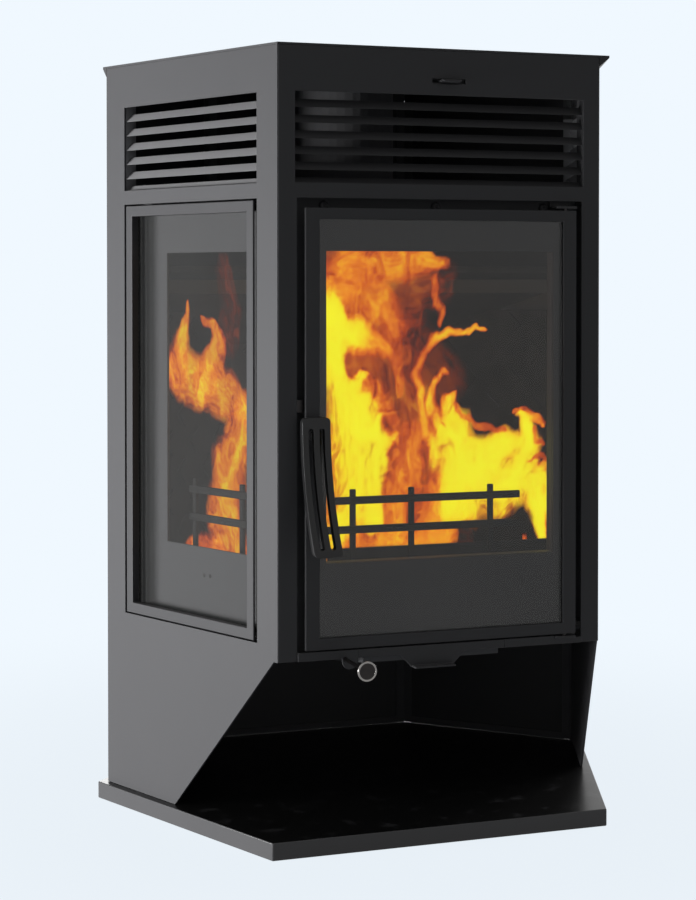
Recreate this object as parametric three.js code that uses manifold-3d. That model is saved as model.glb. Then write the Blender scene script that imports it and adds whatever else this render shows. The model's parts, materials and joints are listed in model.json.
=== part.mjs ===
// A tall corner wood stove with three windows: a folded sheet steel casing on a six-sided plan, a
// welded firebox behind it, a framed glass door, an ash drawer and two air controls.
// Millimetres. +Z is up, the door faces -Y, and +X is to the right of someone facing the door.

import * as THREE from "three";
import { mergeVertices } from "three/addons/utils/BufferGeometryUtils.js";
import Module from "manifold-3d";

const wasm = await Module();
wasm.setup();

// ---------------------------------------------------------------- driving dimensions

// Plan of the casing.
const FRONT_WIDTH = 458;
const SIDE_LENGTH = 390;
const SIDE_FLARE = THREE.MathUtils.degToRad(21.3);
const REAR_LENGTH = 289;
const REAR_SLANT = THREE.MathUtils.degToRad(45);

// Heights of the casing.
const BODY_HEIGHT = 1050;
const BASE_HEIGHT = 23.5;
const SKIRT_HEIGHT = 253;
const CASING_SHEET = 3;
const CAP_SHEET = 3;

// Base and cap.
const BASE_LIP_FRONT = 8;
const BASE_LIP_SIDE = 12;
const BASE_FOLD_IN = 25;
const CAP_LIP_RIGHT = 14;
const CAP_LIP_REAR = 8;
const CAP_HEM_HEIGHT = 12;

// The cut that clears the lower front corner of each side.
const CUT_START = 8.5;
const CUT_END = 226;

// Louvres.
const LOUVRE_DROP = 61.5;
const LOUVRE_HEIGHT = 117.5;
const FRONT_LOUVRE_MARGIN = 24;
const SIDE_LOUVRE_WIDTH = 302;
const SLAT_COUNT = 6;
const SLAT_PITCH = 20.2;
const SLAT_DROP = 11;
const SLAT_SHEET = 2;
const LOUVRE_DEPTH = 17;
const CHEEK_SHEET = 4;
const CHEEK_LAP = 3;

// Openings of the door and of the side windows.
const DOOR_OPENING_MARGIN = 26.25;
const DOOR_OPENING_DROP = 198.7;
const WINDOW_START = 43;
const WINDOW_LENGTH = 302.5;
const WINDOW_BOTTOM = 273;

// Back panel vents.
const VENT_COUNT = 7;
const VENT_WIDTH = 8;
const VENT_HEIGHT = 90;
const VENT_PITCH = 30;
const VENT_BOTTOM = 300;

// Firebox.
const FIREBOX_SHEET = 4;
const FIREBOX_FRONT_DEPTH = 20;
const FIREBOX_SIDE_DEPTH = 31;
const FIREBOX_REAR_DEPTH = 40;
const FIREBOX_FLOOR_LEVEL = 266;
const FIREBOX_ROOF_DROP = 188;
const FIRE_MARGIN = 30.25;
const FIRE_OPENING_BOTTOM = 378;
const FIRE_OPENING_DROP = 267;
const SIDE_OPENING_START = 104;
const SIDE_OPENING_LENGTH = 182;
const SEAL_RIM = 6.5;
const FLOOR_SLOT_LENGTH = 70;
const FLOOR_SLOT_WIDTH = 16;
const FLOOR_SLOT_COUNT = 3;
const FLOOR_SLOT_DEPTH = 8;

// Liner and smoke baffle.
const LINER_THICKNESS = 12;
const LINER_DROP = 351.7;
const TILE_WIDTH = 43;
const TILE_HEIGHT = 42;
const TILE_PITCH_ALONG = 35.6;
const TILE_PITCH_UP = 42.6;
const TILE_RELIEF = 3;
const TILE_EDGE = 2.5;
const BAFFLE_THICKNESS = 8;
const BAFFLE_FRONT_Y = 295;
const BAFFLE_DROP = 294;
const BAFFLE_SLOPE = THREE.MathUtils.degToRad(27);
const SUPPORT_SIZE = 20;
const SUPPORT_SHEET = 3;

// Grate and log fence.
const GRATE_SIZE_X = 190;
const GRATE_SIZE_Y = 200;
const GRATE_THICKNESS = 8;
const GRATE_Y = 170;
const GRATE_BAR = 10;
const GRATE_SLOT = 8;
const GRATE_RIM = 16;
const GRATE_LEDGE = 12;
const FENCE_Y = 60;
const FENCE_WIDTH = 279;
const FENCE_SIDE_DEPTH = 60;
const FENCE_SIDE_START = 144;
const FENCE_SIDE_LENGTH = 131;
const FENCE_TOP = 466;
const FENCE_BAR_HEIGHT = 10;
const FENCE_LOWER_RAIL = 407;
const FENCE_UPPER_RAIL = 446;
const FENCE_BAR_DEPTH = 6;
const FENCE_POST_WIDTH = 8;
const FENCE_POST_INSET = 1;
const FENCE_POST_SHARES = [0.127, 0.428, 0.844];
const FENCE_SIDE_POST_SHARES = [0.09, 0.91];

// Flue.
const FLUE_OUTER = 150;
const FLUE_WALL = 3;
const FLUE_Y = 395;
const FLUE_SPIGOT = 25;
const FLUE_FLANGE = 28;
const FLUE_CLEARANCE = 13;
const ROUND_STEPS = 40;

// Door.
const DOOR_GAP = 10.5;
const DOOR_BOTTOM = 267;
const DOOR_TOP_GAP = 12.8;
const DOOR_PROUD = 5;
const DOOR_SHEET = 3;
const DOOR_BORDER_SIDE = 18.5;
const DOOR_BORDER_END = 14.7;
const DOOR_RIM_DEPTH = 5;
const GLASS = 4;
const GLASS_LAP = 3;
const GLASS_END_GAP = 9;
const RETAINER_SHEET = 4;
const RETAINER_LAP = 1;
const GASKET = 2;
const GASKET_EDGE = 1;
const HINGE_INSET = 14.8;
const HINGE_Y = -1;
const HINGE_PIN = 5;
const HINGE_BLOCK_WIDTH = 12;
const HINGE_BLOCK_HEIGHT = 8;
const HINGE_BLOCK_DEPTH = 6;
const BRACKET_WIDTH = 30;
const BRACKET_SHEET = 3;
const BRACKET_PROUD = 7;
const BRACKET_LEG = 13;
const BRACKET_GAP = 3;

// Handle and latch.
const HANDLE_TOP = 569;
const HANDLE_LENGTH = 173;
const HANDLE_WIDTH = 38;
const HANDLE_THICKNESS = 10;
const HANDLE_STANDOFF = 5;
const HANDLE_RADIUS = 312;
const HANDLE_SLOT = 7;
const HANDLE_BAR = 8;
const HANDLE_SLOT_TOP = 14;
const HANDLE_SLOT_BOTTOM = 9;
const HANDLE_CORNER = 6;
const HANDLE_STEPS = 20;
const PIVOT_DROP = 24;
const PIVOT_BOSS = 14;
const SHAFT = 8;
const HOOK_SHEET = 3;
const HOOK_ARM = 42;
const HOOK_WIDTH = 9;
const HOOK_REACH = 17;
const HOOK_NOSE = 9;
const HOOK_BACK_GAP = 2.5;
const CATCH_SHEET = 3;
const CATCH_HEIGHT = 16;
const CATCH_LIP = 8;

// Side window frame.
const FRAME_GAP_ALONG = 6;
const FRAME_GAP_UP = 2.4;
const FRAME_BORDER = 14.4;
const FRAME_PROUD = 1.4;
const FRAME_SHEET = 3;
const FRAME_DEPTH = 11;
const COLLAR_SHEET = 3;
const WINDOW_GLASS_LAP = 6;

// Sill under the door and ash drawer.
const SILL_TOP = 264.5;
const SILL_BOTTOM = 253.3;
const SILL_SHEET = 3;
const SILL_FLANGE_LEVEL = 258.5;
const SILL_FLANGE_SHEET = 2;
const LUG_X = -131;
const LUG_WIDTH = 22;
const LUG_BOTTOM = 239;
const DRAWER_X = -16;
const DRAWER_WIDTH = 208;
const DRAWER_DEPTH = 260;
const DRAWER_FRONT_FLOOR = 246;
const DRAWER_REAR_FLOOR = 205;
const DRAWER_SHEET = 2;
const DRAWER_FLANGE = 8;
const DRAWER_SIDE_GAP = 4;
const TAB_TOP_WIDTH = 95;
const TAB_BOTTOM_WIDTH = 58;
const TAB_BOTTOM = 236;
const TAB_LIP = 12;
const TAB_SHEET = 2.5;
const RUNNER_SHEET = 2;
const RUNNER_START = 26;
const RUNNER_END = 268;

// Primary air control under the floor.
const ROD = 5;
const ROD_X = -138;
const ROD_LEVEL = 252.8;
const ROD_OUT = 78;
const ROD_IN = 150;
const KNOB = 26;
const KNOB_DEPTH = 9;
const KNOB_DISH = 3;
const KNOB_EDGE = 1;
const GATE_WIDTH = 28;
const GATE_LENGTH = 60;
const GATE_SHEET = 2;
const GATE_PORT = 30;

// Secondary air lever above the door.
const SLOT_X = 8.5;
const SLOT_WIDTH = 47;
const SLOT_DROP = 46;
const SLOT_HEIGHT = 6.5;
const LEVER_WIDTH = 28;
const LEVER_SHEET = 3;
const LEVER_OUT = 12;
const LEVER_IN = 60;
const LEVER_GUIDE_WIDTH = 70;
const LEVER_GUIDE_SHEET = 2;
const LEVER_GUIDE_DROP = 12;

// Clearances.
const SEAM = 0.3;
const SLIDE_FIT = 0.4;
const PIN_FIT = 0.3;
const OVERCUT = 5;
const JOIN_DEPTH = 1;

// ---------------------------------------------------------------- finishes

const finish = (color, roughness, metalness) =>
  new THREE.MeshStandardMaterial({ color, roughness, metalness, flatShading: true });

const CASING_PAINT = finish(0x2b2b2c, 0.55, 0.3);
const FIREBOX_PAINT = finish(0x232323, 0.7, 0.3);
const FRAME_PAINT = finish(0x262627, 0.5, 0.3);
const CAST_IRON = finish(0x3a3938, 0.8, 0.4);
const BARE_STEEL = finish(0x8c8c8c, 0.4, 0.9);
const ROPE = finish(0x33312e, 1.0, 0.0);
const CLEAR_GLASS = new THREE.MeshStandardMaterial({
  color: 0xdfe6e4,
  roughness: 0.05,
  metalness: 0,
  transparent: true,
  opacity: 0.3,
});

// ---------------------------------------------------------------- solids

// A geometry as a solid that can be joined and cut.
function solid(geometry) {
  const bare = geometry.clone();
  bare.deleteAttribute("normal");
  bare.deleteAttribute("uv");
  const merged = mergeVertices(bare, 1e-4);
  return new wasm.Manifold(
    new wasm.Mesh({
      numProp: 3,
      vertProperties: merged.attributes.position.array,
      triVerts: Uint32Array.from(merged.index.array),
    }),
  );
}

function geometryOf(made) {
  const mesh = made.getMesh();
  const geometry = new THREE.BufferGeometry();
  geometry.setAttribute("position", new THREE.BufferAttribute(mesh.vertProperties, 3));
  geometry.setIndex(new THREE.BufferAttribute(mesh.triVerts, 1));
  return geometry;
}

const join = (...pieces) => geometryOf(pieces.map(solid).reduce((all, piece) => all.add(piece)));

const cut = (body, ...tools) =>
  geometryOf(tools.map(solid).reduce((left, tool) => left.subtract(tool), solid(body)));

const common = (one, other) => geometryOf(solid(one).intersect(solid(other)));

// A box between two limits along each axis.
function box([x0, x1], [y0, y1], [z0, z1]) {
  const geometry = new THREE.BoxGeometry(x1 - x0, y1 - y0, z1 - z0);
  return geometry.translate((x0 + x1) / 2, (y0 + y1) / 2, (z0 + z1) / 2);
}

// Limits of a span from its middle and its size.
const span = (middle, size) => [middle - size / 2, middle + size / 2];

// The same limits moved out by a margin, or in by a negative one.
const grown = ([low, high], margin) => [low - margin, high + margin];

// The mirror image across the plane X = 0.
function mirrored(geometry) {
  const flipped = geometry.index ? geometry.toNonIndexed() : geometry.clone();
  const position = flipped.attributes.position;
  const corner = new THREE.Vector3();
  const other = new THREE.Vector3();
  for (let i = 0; i < position.count; i += 3) {
    corner.fromBufferAttribute(position, i + 1);
    other.fromBufferAttribute(position, i + 2);
    position.setXYZ(i + 1, other.x, other.y, other.z);
    position.setXYZ(i + 2, corner.x, corner.y, corner.z);
  }
  flipped.deleteAttribute("normal");
  return flipped.scale(-1, 1, 1);
}

// A flat shape from corner points.
const polygon = (points) => new THREE.Shape(points.map(([x, y]) => new THREE.Vector2(x, y)));

// A rectangle from its limits, with rounded corners if a radius is given.
function rectangle([x0, x1], [y0, y1], radius = 0) {
  const shape = new THREE.Shape();
  shape.moveTo(x0 + radius, y0);
  shape.lineTo(x1 - radius, y0);
  if (radius) shape.absarc(x1 - radius, y0 + radius, radius, -Math.PI / 2, 0);
  shape.lineTo(x1, y1 - radius);
  if (radius) shape.absarc(x1 - radius, y1 - radius, radius, 0, Math.PI / 2);
  shape.lineTo(x0 + radius, y1);
  if (radius) shape.absarc(x0 + radius, y1 - radius, radius, Math.PI / 2, Math.PI);
  shape.lineTo(x0, y0 + radius);
  if (radius) shape.absarc(x0 + radius, y0 + radius, radius, Math.PI, 1.5 * Math.PI);
  return shape;
}

// The corner radius that rounds a slot's ends and leaves a short flat between its corners.
const roundEnd = (width) => width / 2 - SEAM;

const CORNER_STEPS = 4;

const extrude = (shape, depth) =>
  new THREE.ExtrudeGeometry(shape, { depth, bevelEnabled: false, curveSegments: CORNER_STEPS });

// A round bar along an axis, between two limits on that axis.
function bar(axis, [from, to], diameter, [a, b], steps = 16) {
  const geometry = new THREE.CylinderGeometry(diameter / 2, diameter / 2, to - from, steps);
  const middle = (from + to) / 2;
  if (axis === "z") return geometry.rotateX(Math.PI / 2).translate(a, b, middle);
  return geometry.translate(a, middle, b);
}

// A tube about a vertical axis from a closed profile of radius and level.
function turned(profile, [x, y]) {
  const points = [...profile, profile[0]].map(([radius, level]) => new THREE.Vector2(radius, level));
  return new THREE.LatheGeometry(points, ROUND_STEPS).rotateX(Math.PI / 2).translate(x, y, 0);
}

// ---------------------------------------------------------------- plan

const sideRun = [SIDE_LENGTH * Math.sin(SIDE_FLARE), SIDE_LENGTH * Math.cos(SIDE_FLARE)];
const rearRun = [REAR_LENGTH * Math.cos(REAR_SLANT), REAR_LENGTH * Math.sin(REAR_SLANT)];
const shoulder = [FRONT_WIDTH / 2 + sideRun[0], sideRun[1]];
const backCorner = [shoulder[0] - rearRun[0], shoulder[1] + rearRun[1]];

// Corners of the casing, anticlockwise from the front left.
const PLAN = [
  [-FRONT_WIDTH / 2, 0],
  [FRONT_WIDTH / 2, 0],
  shoulder,
  backCorner,
  [-backCorner[0], backCorner[1]],
  [-shoulder[0], shoulder[1]],
];

// The walls by the corner that each starts from.
const [FRONT, RIGHT, RIGHT_REAR, BACK, LEFT_REAR, LEFT] = PLAN.keys();

// A wall of the plan: where it starts, its direction, its outward normal and its length.
const WALLS = PLAN.map((start, i) => {
  const end = PLAN[(i + 1) % PLAN.length];
  const length = Math.hypot(end[0] - start[0], end[1] - start[1]);
  const along = [(end[0] - start[0]) / length, (end[1] - start[1]) / length];
  return { start, along, normal: [along[1], -along[0]], length };
});

// Six depths, one for each wall in the order of the plan.
const depths = (front, side, rear, back = rear) => [front, side, rear, back, rear, side];

// Corners of the plan with each wall moved in by its own depth.
function insetPlan(wallDepths) {
  const lines = WALLS.map(({ start, along, normal }, i) => ({
    point: [start[0] - normal[0] * wallDepths[i], start[1] - normal[1] * wallDepths[i]],
    along,
  }));
  return lines.map((line, i) => {
    const before = lines[(i + lines.length - 1) % lines.length];
    const cross = before.along[0] * line.along[1] - before.along[1] * line.along[0];
    const apart = [line.point[0] - before.point[0], line.point[1] - before.point[1]];
    const run = (apart[0] * line.along[1] - apart[1] * line.along[0]) / cross;
    return [before.point[0] + before.along[0] * run, before.point[1] + before.along[1] * run];
  });
}

// An upright prism on a plan, between two levels.
const prism = (points, [bottom, top]) =>
  extrude(polygon(points), top - bottom).translate(0, 0, bottom);

// A solid between two plans of equal corner count at two levels.
function loft(lower, bottom, upper, top) {
  const count = lower.length;
  const positions = [
    ...lower.flatMap(([x, y]) => [x, y, bottom]),
    ...upper.flatMap(([x, y]) => [x, y, top]),
  ];
  const faces = [];
  for (let i = 1; i < count - 1; i += 1) {
    faces.push(0, i + 1, i);
    faces.push(count, count + i, count + i + 1);
  }
  for (let i = 0; i < count; i += 1) {
    const next = (i + 1) % count;
    faces.push(i, next, count + next);
    faces.push(i, count + next, count + i);
  }
  const geometry = new THREE.BufferGeometry();
  geometry.setAttribute("position", new THREE.Float32BufferAttribute(positions, 3));
  geometry.setIndex(faces);
  return geometry;
}

// Moves a geometry from a wall's own axes (along the wall, up, outward) to the stove's.
function onWall(wall, geometry) {
  const { start, along, normal } = WALLS[wall];
  const matrix = new THREE.Matrix4().makeBasis(
    new THREE.Vector3(along[0], along[1], 0),
    new THREE.Vector3(0, 0, 1),
    new THREE.Vector3(normal[0], normal[1], 0),
  );
  return geometry.applyMatrix4(matrix.setPosition(start[0], start[1], 0));
}

// A profile of depth behind a wall's face and level, run along the wall between two limits.
function alongWall(wall, profile, [from, to]) {
  const { start, along, normal } = WALLS[wall];
  const shape = polygon(profile.map(([depth, level]) => [-depth, level]));
  const matrix = new THREE.Matrix4().makeBasis(
    new THREE.Vector3(normal[0], normal[1], 0),
    new THREE.Vector3(0, 0, 1),
    new THREE.Vector3(-along[0], -along[1], 0),
  );
  matrix.setPosition(start[0], start[1], 0);
  return extrude(shape, to - from).translate(0, 0, -to).applyMatrix4(matrix);
}

// A side view, drawn in Y and Z, run across the stove about a middle X.
const acrossStove = (shape, width, middleX = 0) =>
  extrude(shape, width)
    .rotateX(Math.PI / 2)
    .rotateZ(Math.PI / 2)
    .translate(middleX - width / 2, 0, 0);

// A front view, drawn in X and Z, between two depths.
const frontFacing = (shape, [near, far]) =>
  extrude(shape, far - near).rotateX(Math.PI / 2).translate(0, far, 0);

// A plate on a wall, drawn along and up, between two depths behind the casing's face.
const wallPlate = (wall, shape, [outer, inner]) =>
  onWall(wall, extrude(shape, inner - outer).translate(0, 0, -inner));

// The strip of plan that one wall's sheet fills, mitred to its neighbours with half a seam each.
function mitredStrip(wall, outerDepths, innerDepths, levels) {
  const outer = insetPlan(outerDepths);
  const inner = insetPlan(innerDepths);
  const next = (wall + 1) % PLAN.length;
  const { along } = WALLS[wall];
  const shift = ([x, y], by) => [x + along[0] * by, y + along[1] * by];
  const half = SEAM / 2;
  const corners = [
    shift(outer[wall], half),
    shift(outer[next], -half),
    shift(inner[next], -half),
    shift(inner[wall], half),
  ];
  return prism(corners, levels);
}

// ---------------------------------------------------------------- scene graph

const stove = new THREE.Group();

// Adds a group whose own origin is the given point of the stove.
function groupAt(parent, x = 0, y = 0, z = 0) {
  const group = new THREE.Group();
  group.position.set(x, y, z);
  group.userData.origin = new THREE.Vector3(x, y, z).add(
    parent.userData.origin ?? new THREE.Vector3(),
  );
  parent.add(group);
  return group;
}

// Adds a named piece, drawn in the stove's axes, to the group that carries it.
function place(group, name, geometry, material) {
  const { x, y, z } = group.userData.origin;
  const mesh = new THREE.Mesh(geometry.translate(-x, -y, -z), material);
  mesh.name = name;
  group.add(mesh);
}

// Adds the right-hand piece and its mirror image.
function placePair(group, name, geometry, material) {
  place(group, `left_${name}`, mirrored(geometry), material);
  place(group, `right_${name}`, geometry, material);
}

const casing = groupAt(stove);
const firebox = groupAt(stove);

// ---------------------------------------------------------------- casing

const CAP_LEVEL = BODY_HEIGHT - CAP_SHEET;
const DOOR_OPENING_TOP = BODY_HEIGHT - DOOR_OPENING_DROP;
const DOOR_OPENING_WIDTH = FRONT_WIDTH - 2 * DOOR_OPENING_MARGIN;
const FRONT_LOUVRE_WIDTH = FRONT_WIDTH - 2 * FRONT_LOUVRE_MARGIN;
const SLOT_BOTTOM = BODY_HEIGHT - SLOT_DROP;
const PANEL_LEVELS = [BASE_HEIGHT + SEAM, CAP_LEVEL - SEAM];
const CASING_DEPTHS = depths(0, 0, 0);
const CASING_INNER = depths(CASING_SHEET, CASING_SHEET, CASING_SHEET);
const LOUVRE_TOP = BODY_HEIGHT - LOUVRE_DROP;
const LOUVRE_LEVELS = [LOUVRE_TOP - LOUVRE_HEIGHT, LOUVRE_TOP];
const WINDOW_LEVELS = [WINDOW_BOTTOM, DOOR_OPENING_TOP];
const WINDOW_SPAN = [WINDOW_START, WINDOW_START + WINDOW_LENGTH];
const SIDE_LOUVRE_SPAN = span(WINDOW_START + WINDOW_LENGTH / 2, SIDE_LOUVRE_WIDTH);
const FRONT_MIDDLE = FRONT_WIDTH / 2;

// A hole right through a wall's casing sheet.
const wallHole = (wall, shape) => wallPlate(wall, shape, [-OVERCUT, CASING_SHEET + OVERCUT]);

// A tray folded from one sheet: top, skirt and a lip folded in under it that stands on the floor.
function basePlate() {
  const lips = depths(-BASE_LIP_FRONT, -BASE_LIP_SIDE, -BASE_LIP_SIDE);
  const inner = insetPlan(lips.map((lip) => lip + CASING_SHEET));
  const mouth = insetPlan(lips.map((lip) => lip + BASE_FOLD_IN));
  return cut(
    prism(insetPlan(lips), [0, BASE_HEIGHT]),
    prism(inner, [CASING_SHEET, BASE_HEIGHT - CASING_SHEET]),
    prism(mouth, [-OVERCUT, BASE_HEIGHT / 2]),
  );
}

function frontPanel() {
  const sheet = mitredStrip(FRONT, CASING_DEPTHS, CASING_INNER, [SKIRT_HEIGHT, PANEL_LEVELS[1]]);
  const doorway = rectangle(span(FRONT_MIDDLE, DOOR_OPENING_WIDTH), [
    SKIRT_HEIGHT - OVERCUT,
    DOOR_OPENING_TOP,
  ]);
  const louvre = rectangle(span(FRONT_MIDDLE, FRONT_LOUVRE_WIDTH), LOUVRE_LEVELS);
  const slot = rectangle(span(FRONT_MIDDLE + SLOT_X, SLOT_WIDTH), [
    SLOT_BOTTOM,
    SLOT_BOTTOM + SLOT_HEIGHT,
  ]);
  return cut(sheet, wallHole(FRONT, doorway), wallHole(FRONT, louvre), wallHole(FRONT, slot));
}

// The right side: its lower front corner is cut away under the door.
function sidePanel() {
  const sheet = mitredStrip(RIGHT, CASING_DEPTHS, CASING_INNER, PANEL_LEVELS);
  const corner = polygon([
    [-OVERCUT, SKIRT_HEIGHT],
    [-OVERCUT, 0],
    [CUT_END, 0],
    [CUT_END, BASE_HEIGHT + SEAM],
    [CUT_START, SKIRT_HEIGHT],
  ]);
  const holes = [
    corner,
    rectangle(WINDOW_SPAN, WINDOW_LEVELS),
    rectangle(SIDE_LOUVRE_SPAN, LOUVRE_LEVELS),
  ];
  return cut(sheet, ...holes.map((hole) => wallHole(RIGHT, hole)));
}

function backPanel() {
  const sheet = mitredStrip(BACK, CASING_DEPTHS, CASING_INNER, PANEL_LEVELS);
  const middle = WALLS[BACK].length / 2;
  const vents = Array.from({ length: VENT_COUNT }, (_, i) => {
    const at = middle + (i - (VENT_COUNT - 1) / 2) * VENT_PITCH;
    const levels = [VENT_BOTTOM, VENT_BOTTOM + VENT_HEIGHT];
    return wallHole(BACK, rectangle(span(at, VENT_WIDTH), levels, roundEnd(VENT_WIDTH)));
  });
  return cut(sheet, ...vents);
}

const FLUE_AT = [0, FLUE_Y];
const FLUE_RADIUS = FLUE_OUTER / 2;
const FLUE_BORE = FLUE_RADIUS - FLUE_WALL;
const FLUE_HOLE = FLUE_RADIUS + FLUE_CLEARANCE;

// A flat lid, flush with the front and left faces, with a sloped hem under its right and rear lips.
function topCap() {
  const lips = [0, -CAP_LIP_RIGHT, -CAP_LIP_REAR, -CAP_LIP_REAR, -CAP_LIP_REAR, 0];
  const lid = prism(insetPlan(lips), [CAP_LEVEL, BODY_HEIGHT]);
  const hemTop = insetPlan(lips);
  const hem = loft(PLAN, CAP_LEVEL - CAP_HEM_HEIGHT, hemTop, CAP_LEVEL);
  const body = prism(insetPlan([SEAM, -SEAM, -SEAM, -SEAM, -SEAM, SEAM]), [0, CAP_LEVEL]);
  const frontAndLeft = [
    wallPlate(FRONT, rectangle([-BODY_HEIGHT, BODY_HEIGHT], [0, CAP_LEVEL]), [-OVERCUT, SEAM]),
    wallPlate(LEFT, rectangle([-SEAM, BODY_HEIGHT], [0, CAP_LEVEL]), [-OVERCUT, OVERCUT]),
  ];
  const hole = turned(
    [
      [0, CAP_LEVEL - OVERCUT],
      [FLUE_HOLE, CAP_LEVEL - OVERCUT],
      [FLUE_HOLE, BODY_HEIGHT + OVERCUT],
      [0, BODY_HEIGHT + OVERCUT],
    ],
    FLUE_AT,
  );
  return cut(join(lid, cut(hem, body, ...frontAndLeft)), hole);
}

// A cassette of slats behind an opening: two end cheeks carry the slats, each lower edge outward.
function louvre(wall, [start, end]) {
  const near = CASING_SHEET + SEAM;
  const cheekLevels = grown(LOUVRE_LEVELS, CHEEK_LAP);
  const cheek = (from) =>
    wallPlate(wall, rectangle([from, from + CHEEK_SHEET], cheekLevels), [near, near + LOUVRE_DEPTH]);
  const slats = Array.from({ length: SLAT_COUNT }, (_, i) => {
    const top = LOUVRE_LEVELS[1] - (SLAT_PITCH - SLAT_DROP) - i * SLAT_PITCH;
    const profile = [
      [near, top - SLAT_DROP],
      [near + SLAT_DROP, top],
      [near + SLAT_DROP + SLAT_SHEET, top],
      [near + SLAT_SHEET, top - SLAT_DROP],
    ];
    return alongWall(wall, profile, grown([start, end], JOIN_DEPTH));
  });
  return join(cheek(start - CHEEK_SHEET), cheek(end), ...slats);
}

const rearPanel = () => mitredStrip(RIGHT_REAR, CASING_DEPTHS, CASING_INNER, PANEL_LEVELS);

place(casing, "base_plate", basePlate(), CASING_PAINT);
place(casing, "front_panel", frontPanel(), CASING_PAINT);
placePair(casing, "side_panel", sidePanel(), CASING_PAINT);
placePair(casing, "rear_panel", rearPanel(), CASING_PAINT);
place(casing, "back_panel", backPanel(), CASING_PAINT);
place(casing, "top_cap", topCap(), CASING_PAINT);
place(casing, "front_louvre", louvre(FRONT, span(FRONT_MIDDLE, FRONT_LOUVRE_WIDTH)), CASING_PAINT);
placePair(casing, "side_louvre", louvre(RIGHT, SIDE_LOUVRE_SPAN), CASING_PAINT);

// ---------------------------------------------------------------- firebox shell

const FIREBOX_ROOF_LEVEL = BODY_HEIGHT - FIREBOX_ROOF_DROP;
const CLOSE = CASING_SHEET + SEAM;
const WALL_FOOT = FIREBOX_FLOOR_LEVEL + FIREBOX_SHEET + SEAM;
const WALL_LEVELS = [WALL_FOOT, FIREBOX_ROOF_LEVEL - SEAM];
const SHELL_OUTER = depths(FIREBOX_FRONT_DEPTH, FIREBOX_SIDE_DEPTH, FIREBOX_REAR_DEPTH);
const SHELL_INNER = SHELL_OUTER.map((depth) => depth + FIREBOX_SHEET);
const SHELL_WALL = FIREBOX_SIDE_DEPTH + FIREBOX_SHEET;
const FRONT_BACK_Y = FIREBOX_FRONT_DEPTH + FIREBOX_SHEET;
const DOOR_HALF = DOOR_OPENING_WIDTH / 2 - DOOR_GAP;
const DOOR_SPAN = [-DOOR_HALF, DOOR_HALF];
const FIRE_OPENING = grown(DOOR_SPAN, -FIRE_MARGIN);
const FIRE_LEVELS = [FIRE_OPENING_BOTTOM, BODY_HEIGHT - FIRE_OPENING_DROP];
const DRAWER_TOP = SILL_FLANGE_LEVEL - SLIDE_FIT;
const DRAWER_SPAN = span(DRAWER_X, DRAWER_WIDTH);
const GRATE_HOLE = [
  grown(span(DRAWER_X, GRATE_SIZE_X), -GRATE_LEDGE),
  grown(span(GRATE_Y, GRATE_SIZE_Y), -GRATE_LEDGE),
];
const FLOOR_LEVELS = [FIREBOX_FLOOR_LEVEL, FIREBOX_FLOOR_LEVEL + FIREBOX_SHEET];

// The plate that closes the casing under the fire: it has the ash hole, the air port and a row of
// slots along each side and rear wall where room air rises behind the firebox.
function fireboxFloor() {
  const plate = prism(insetPlan(depths(FRONT_BACK_Y + SEAM, CLOSE, CLOSE)), FLOOR_LEVELS);
  const through = grown(FLOOR_LEVELS, OVERCUT);
  const slots = [RIGHT, RIGHT_REAR, BACK, LEFT_REAR, LEFT].flatMap((wall) => {
    const { length } = WALLS[wall];
    const pitch = (length - 2 * SHELL_WALL) / FLOOR_SLOT_COUNT;
    return Array.from({ length: FLOOR_SLOT_COUNT }, (_, i) => {
      const at = length / 2 + (i - (FLOOR_SLOT_COUNT - 1) / 2) * pitch;
      const shape = rectangle(span(at, FLOOR_SLOT_LENGTH), through);
      return wallPlate(wall, shape, [FLOOR_SLOT_DEPTH, FLOOR_SLOT_DEPTH + FLOOR_SLOT_WIDTH]);
    });
  });
  const port = bar("z", through, GATE_PORT, [ROD_X, ROD_IN + (GATE_LENGTH + GATE_PORT) / 2]);
  return cut(plate, ...slots, port, box(...GRATE_HOLE, through));
}

const DOOR_BACK = -DOOR_PROUD + DOOR_SHEET + SEAM + GLASS + SEAM + RETAINER_SHEET;
const RIM_FRONT = DOOR_BACK + SEAM + GASKET + SEAM;

// The front plate stands behind the casing's doorway, with a raised rim that the door seals on.
function fireboxFront() {
  const half = insetPlan(SHELL_OUTER)[1][0] - SEAM;
  const depth = [FIREBOX_FRONT_DEPTH, FRONT_BACK_Y];
  const plate = box([-half, half], depth, [SKIRT_HEIGHT, FIREBOX_ROOF_LEVEL - SEAM]);
  const rim = box(grown(FIRE_OPENING, SEAL_RIM), [RIM_FRONT, FRONT_BACK_Y], grown(FIRE_LEVELS, SEAL_RIM));
  const through = [RIM_FRONT - OVERCUT, FRONT_BACK_Y + OVERCUT];
  const foot = SKIRT_HEIGHT - OVERCUT;
  return cut(
    join(plate, rim),
    box(grown(FIRE_OPENING, SEAM), through, grown(FIRE_LEVELS, SEAM)),
    box(grown(DRAWER_SPAN, DRAWER_SIDE_GAP), through, [foot, SILL_FLANGE_LEVEL]),
    box(span(ROD_X, ROD + 2 * PIN_FIT), through, [foot, ROD_LEVEL + ROD / 2 + PIN_FIT]),
  );
}

const FRAME_SPAN = grown(WINDOW_SPAN, -FRAME_GAP_ALONG);
const FRAME_LEVELS = grown(WINDOW_LEVELS, -FRAME_GAP_UP);
const PANE_SPAN = grown(FRAME_SPAN, -FRAME_BORDER);
const PANE_LEVELS = grown(FRAME_LEVELS, -FRAME_BORDER);
const PANE_FRONT = FRAME_DEPTH - FRAME_PROUD + SEAM;
const COLLAR_FRONT = PANE_FRONT + GLASS + SEAM + GASKET + SEAM;

const growBoth = ([along, up], margin) => [grown(along, margin), grown(up, margin)];

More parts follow.
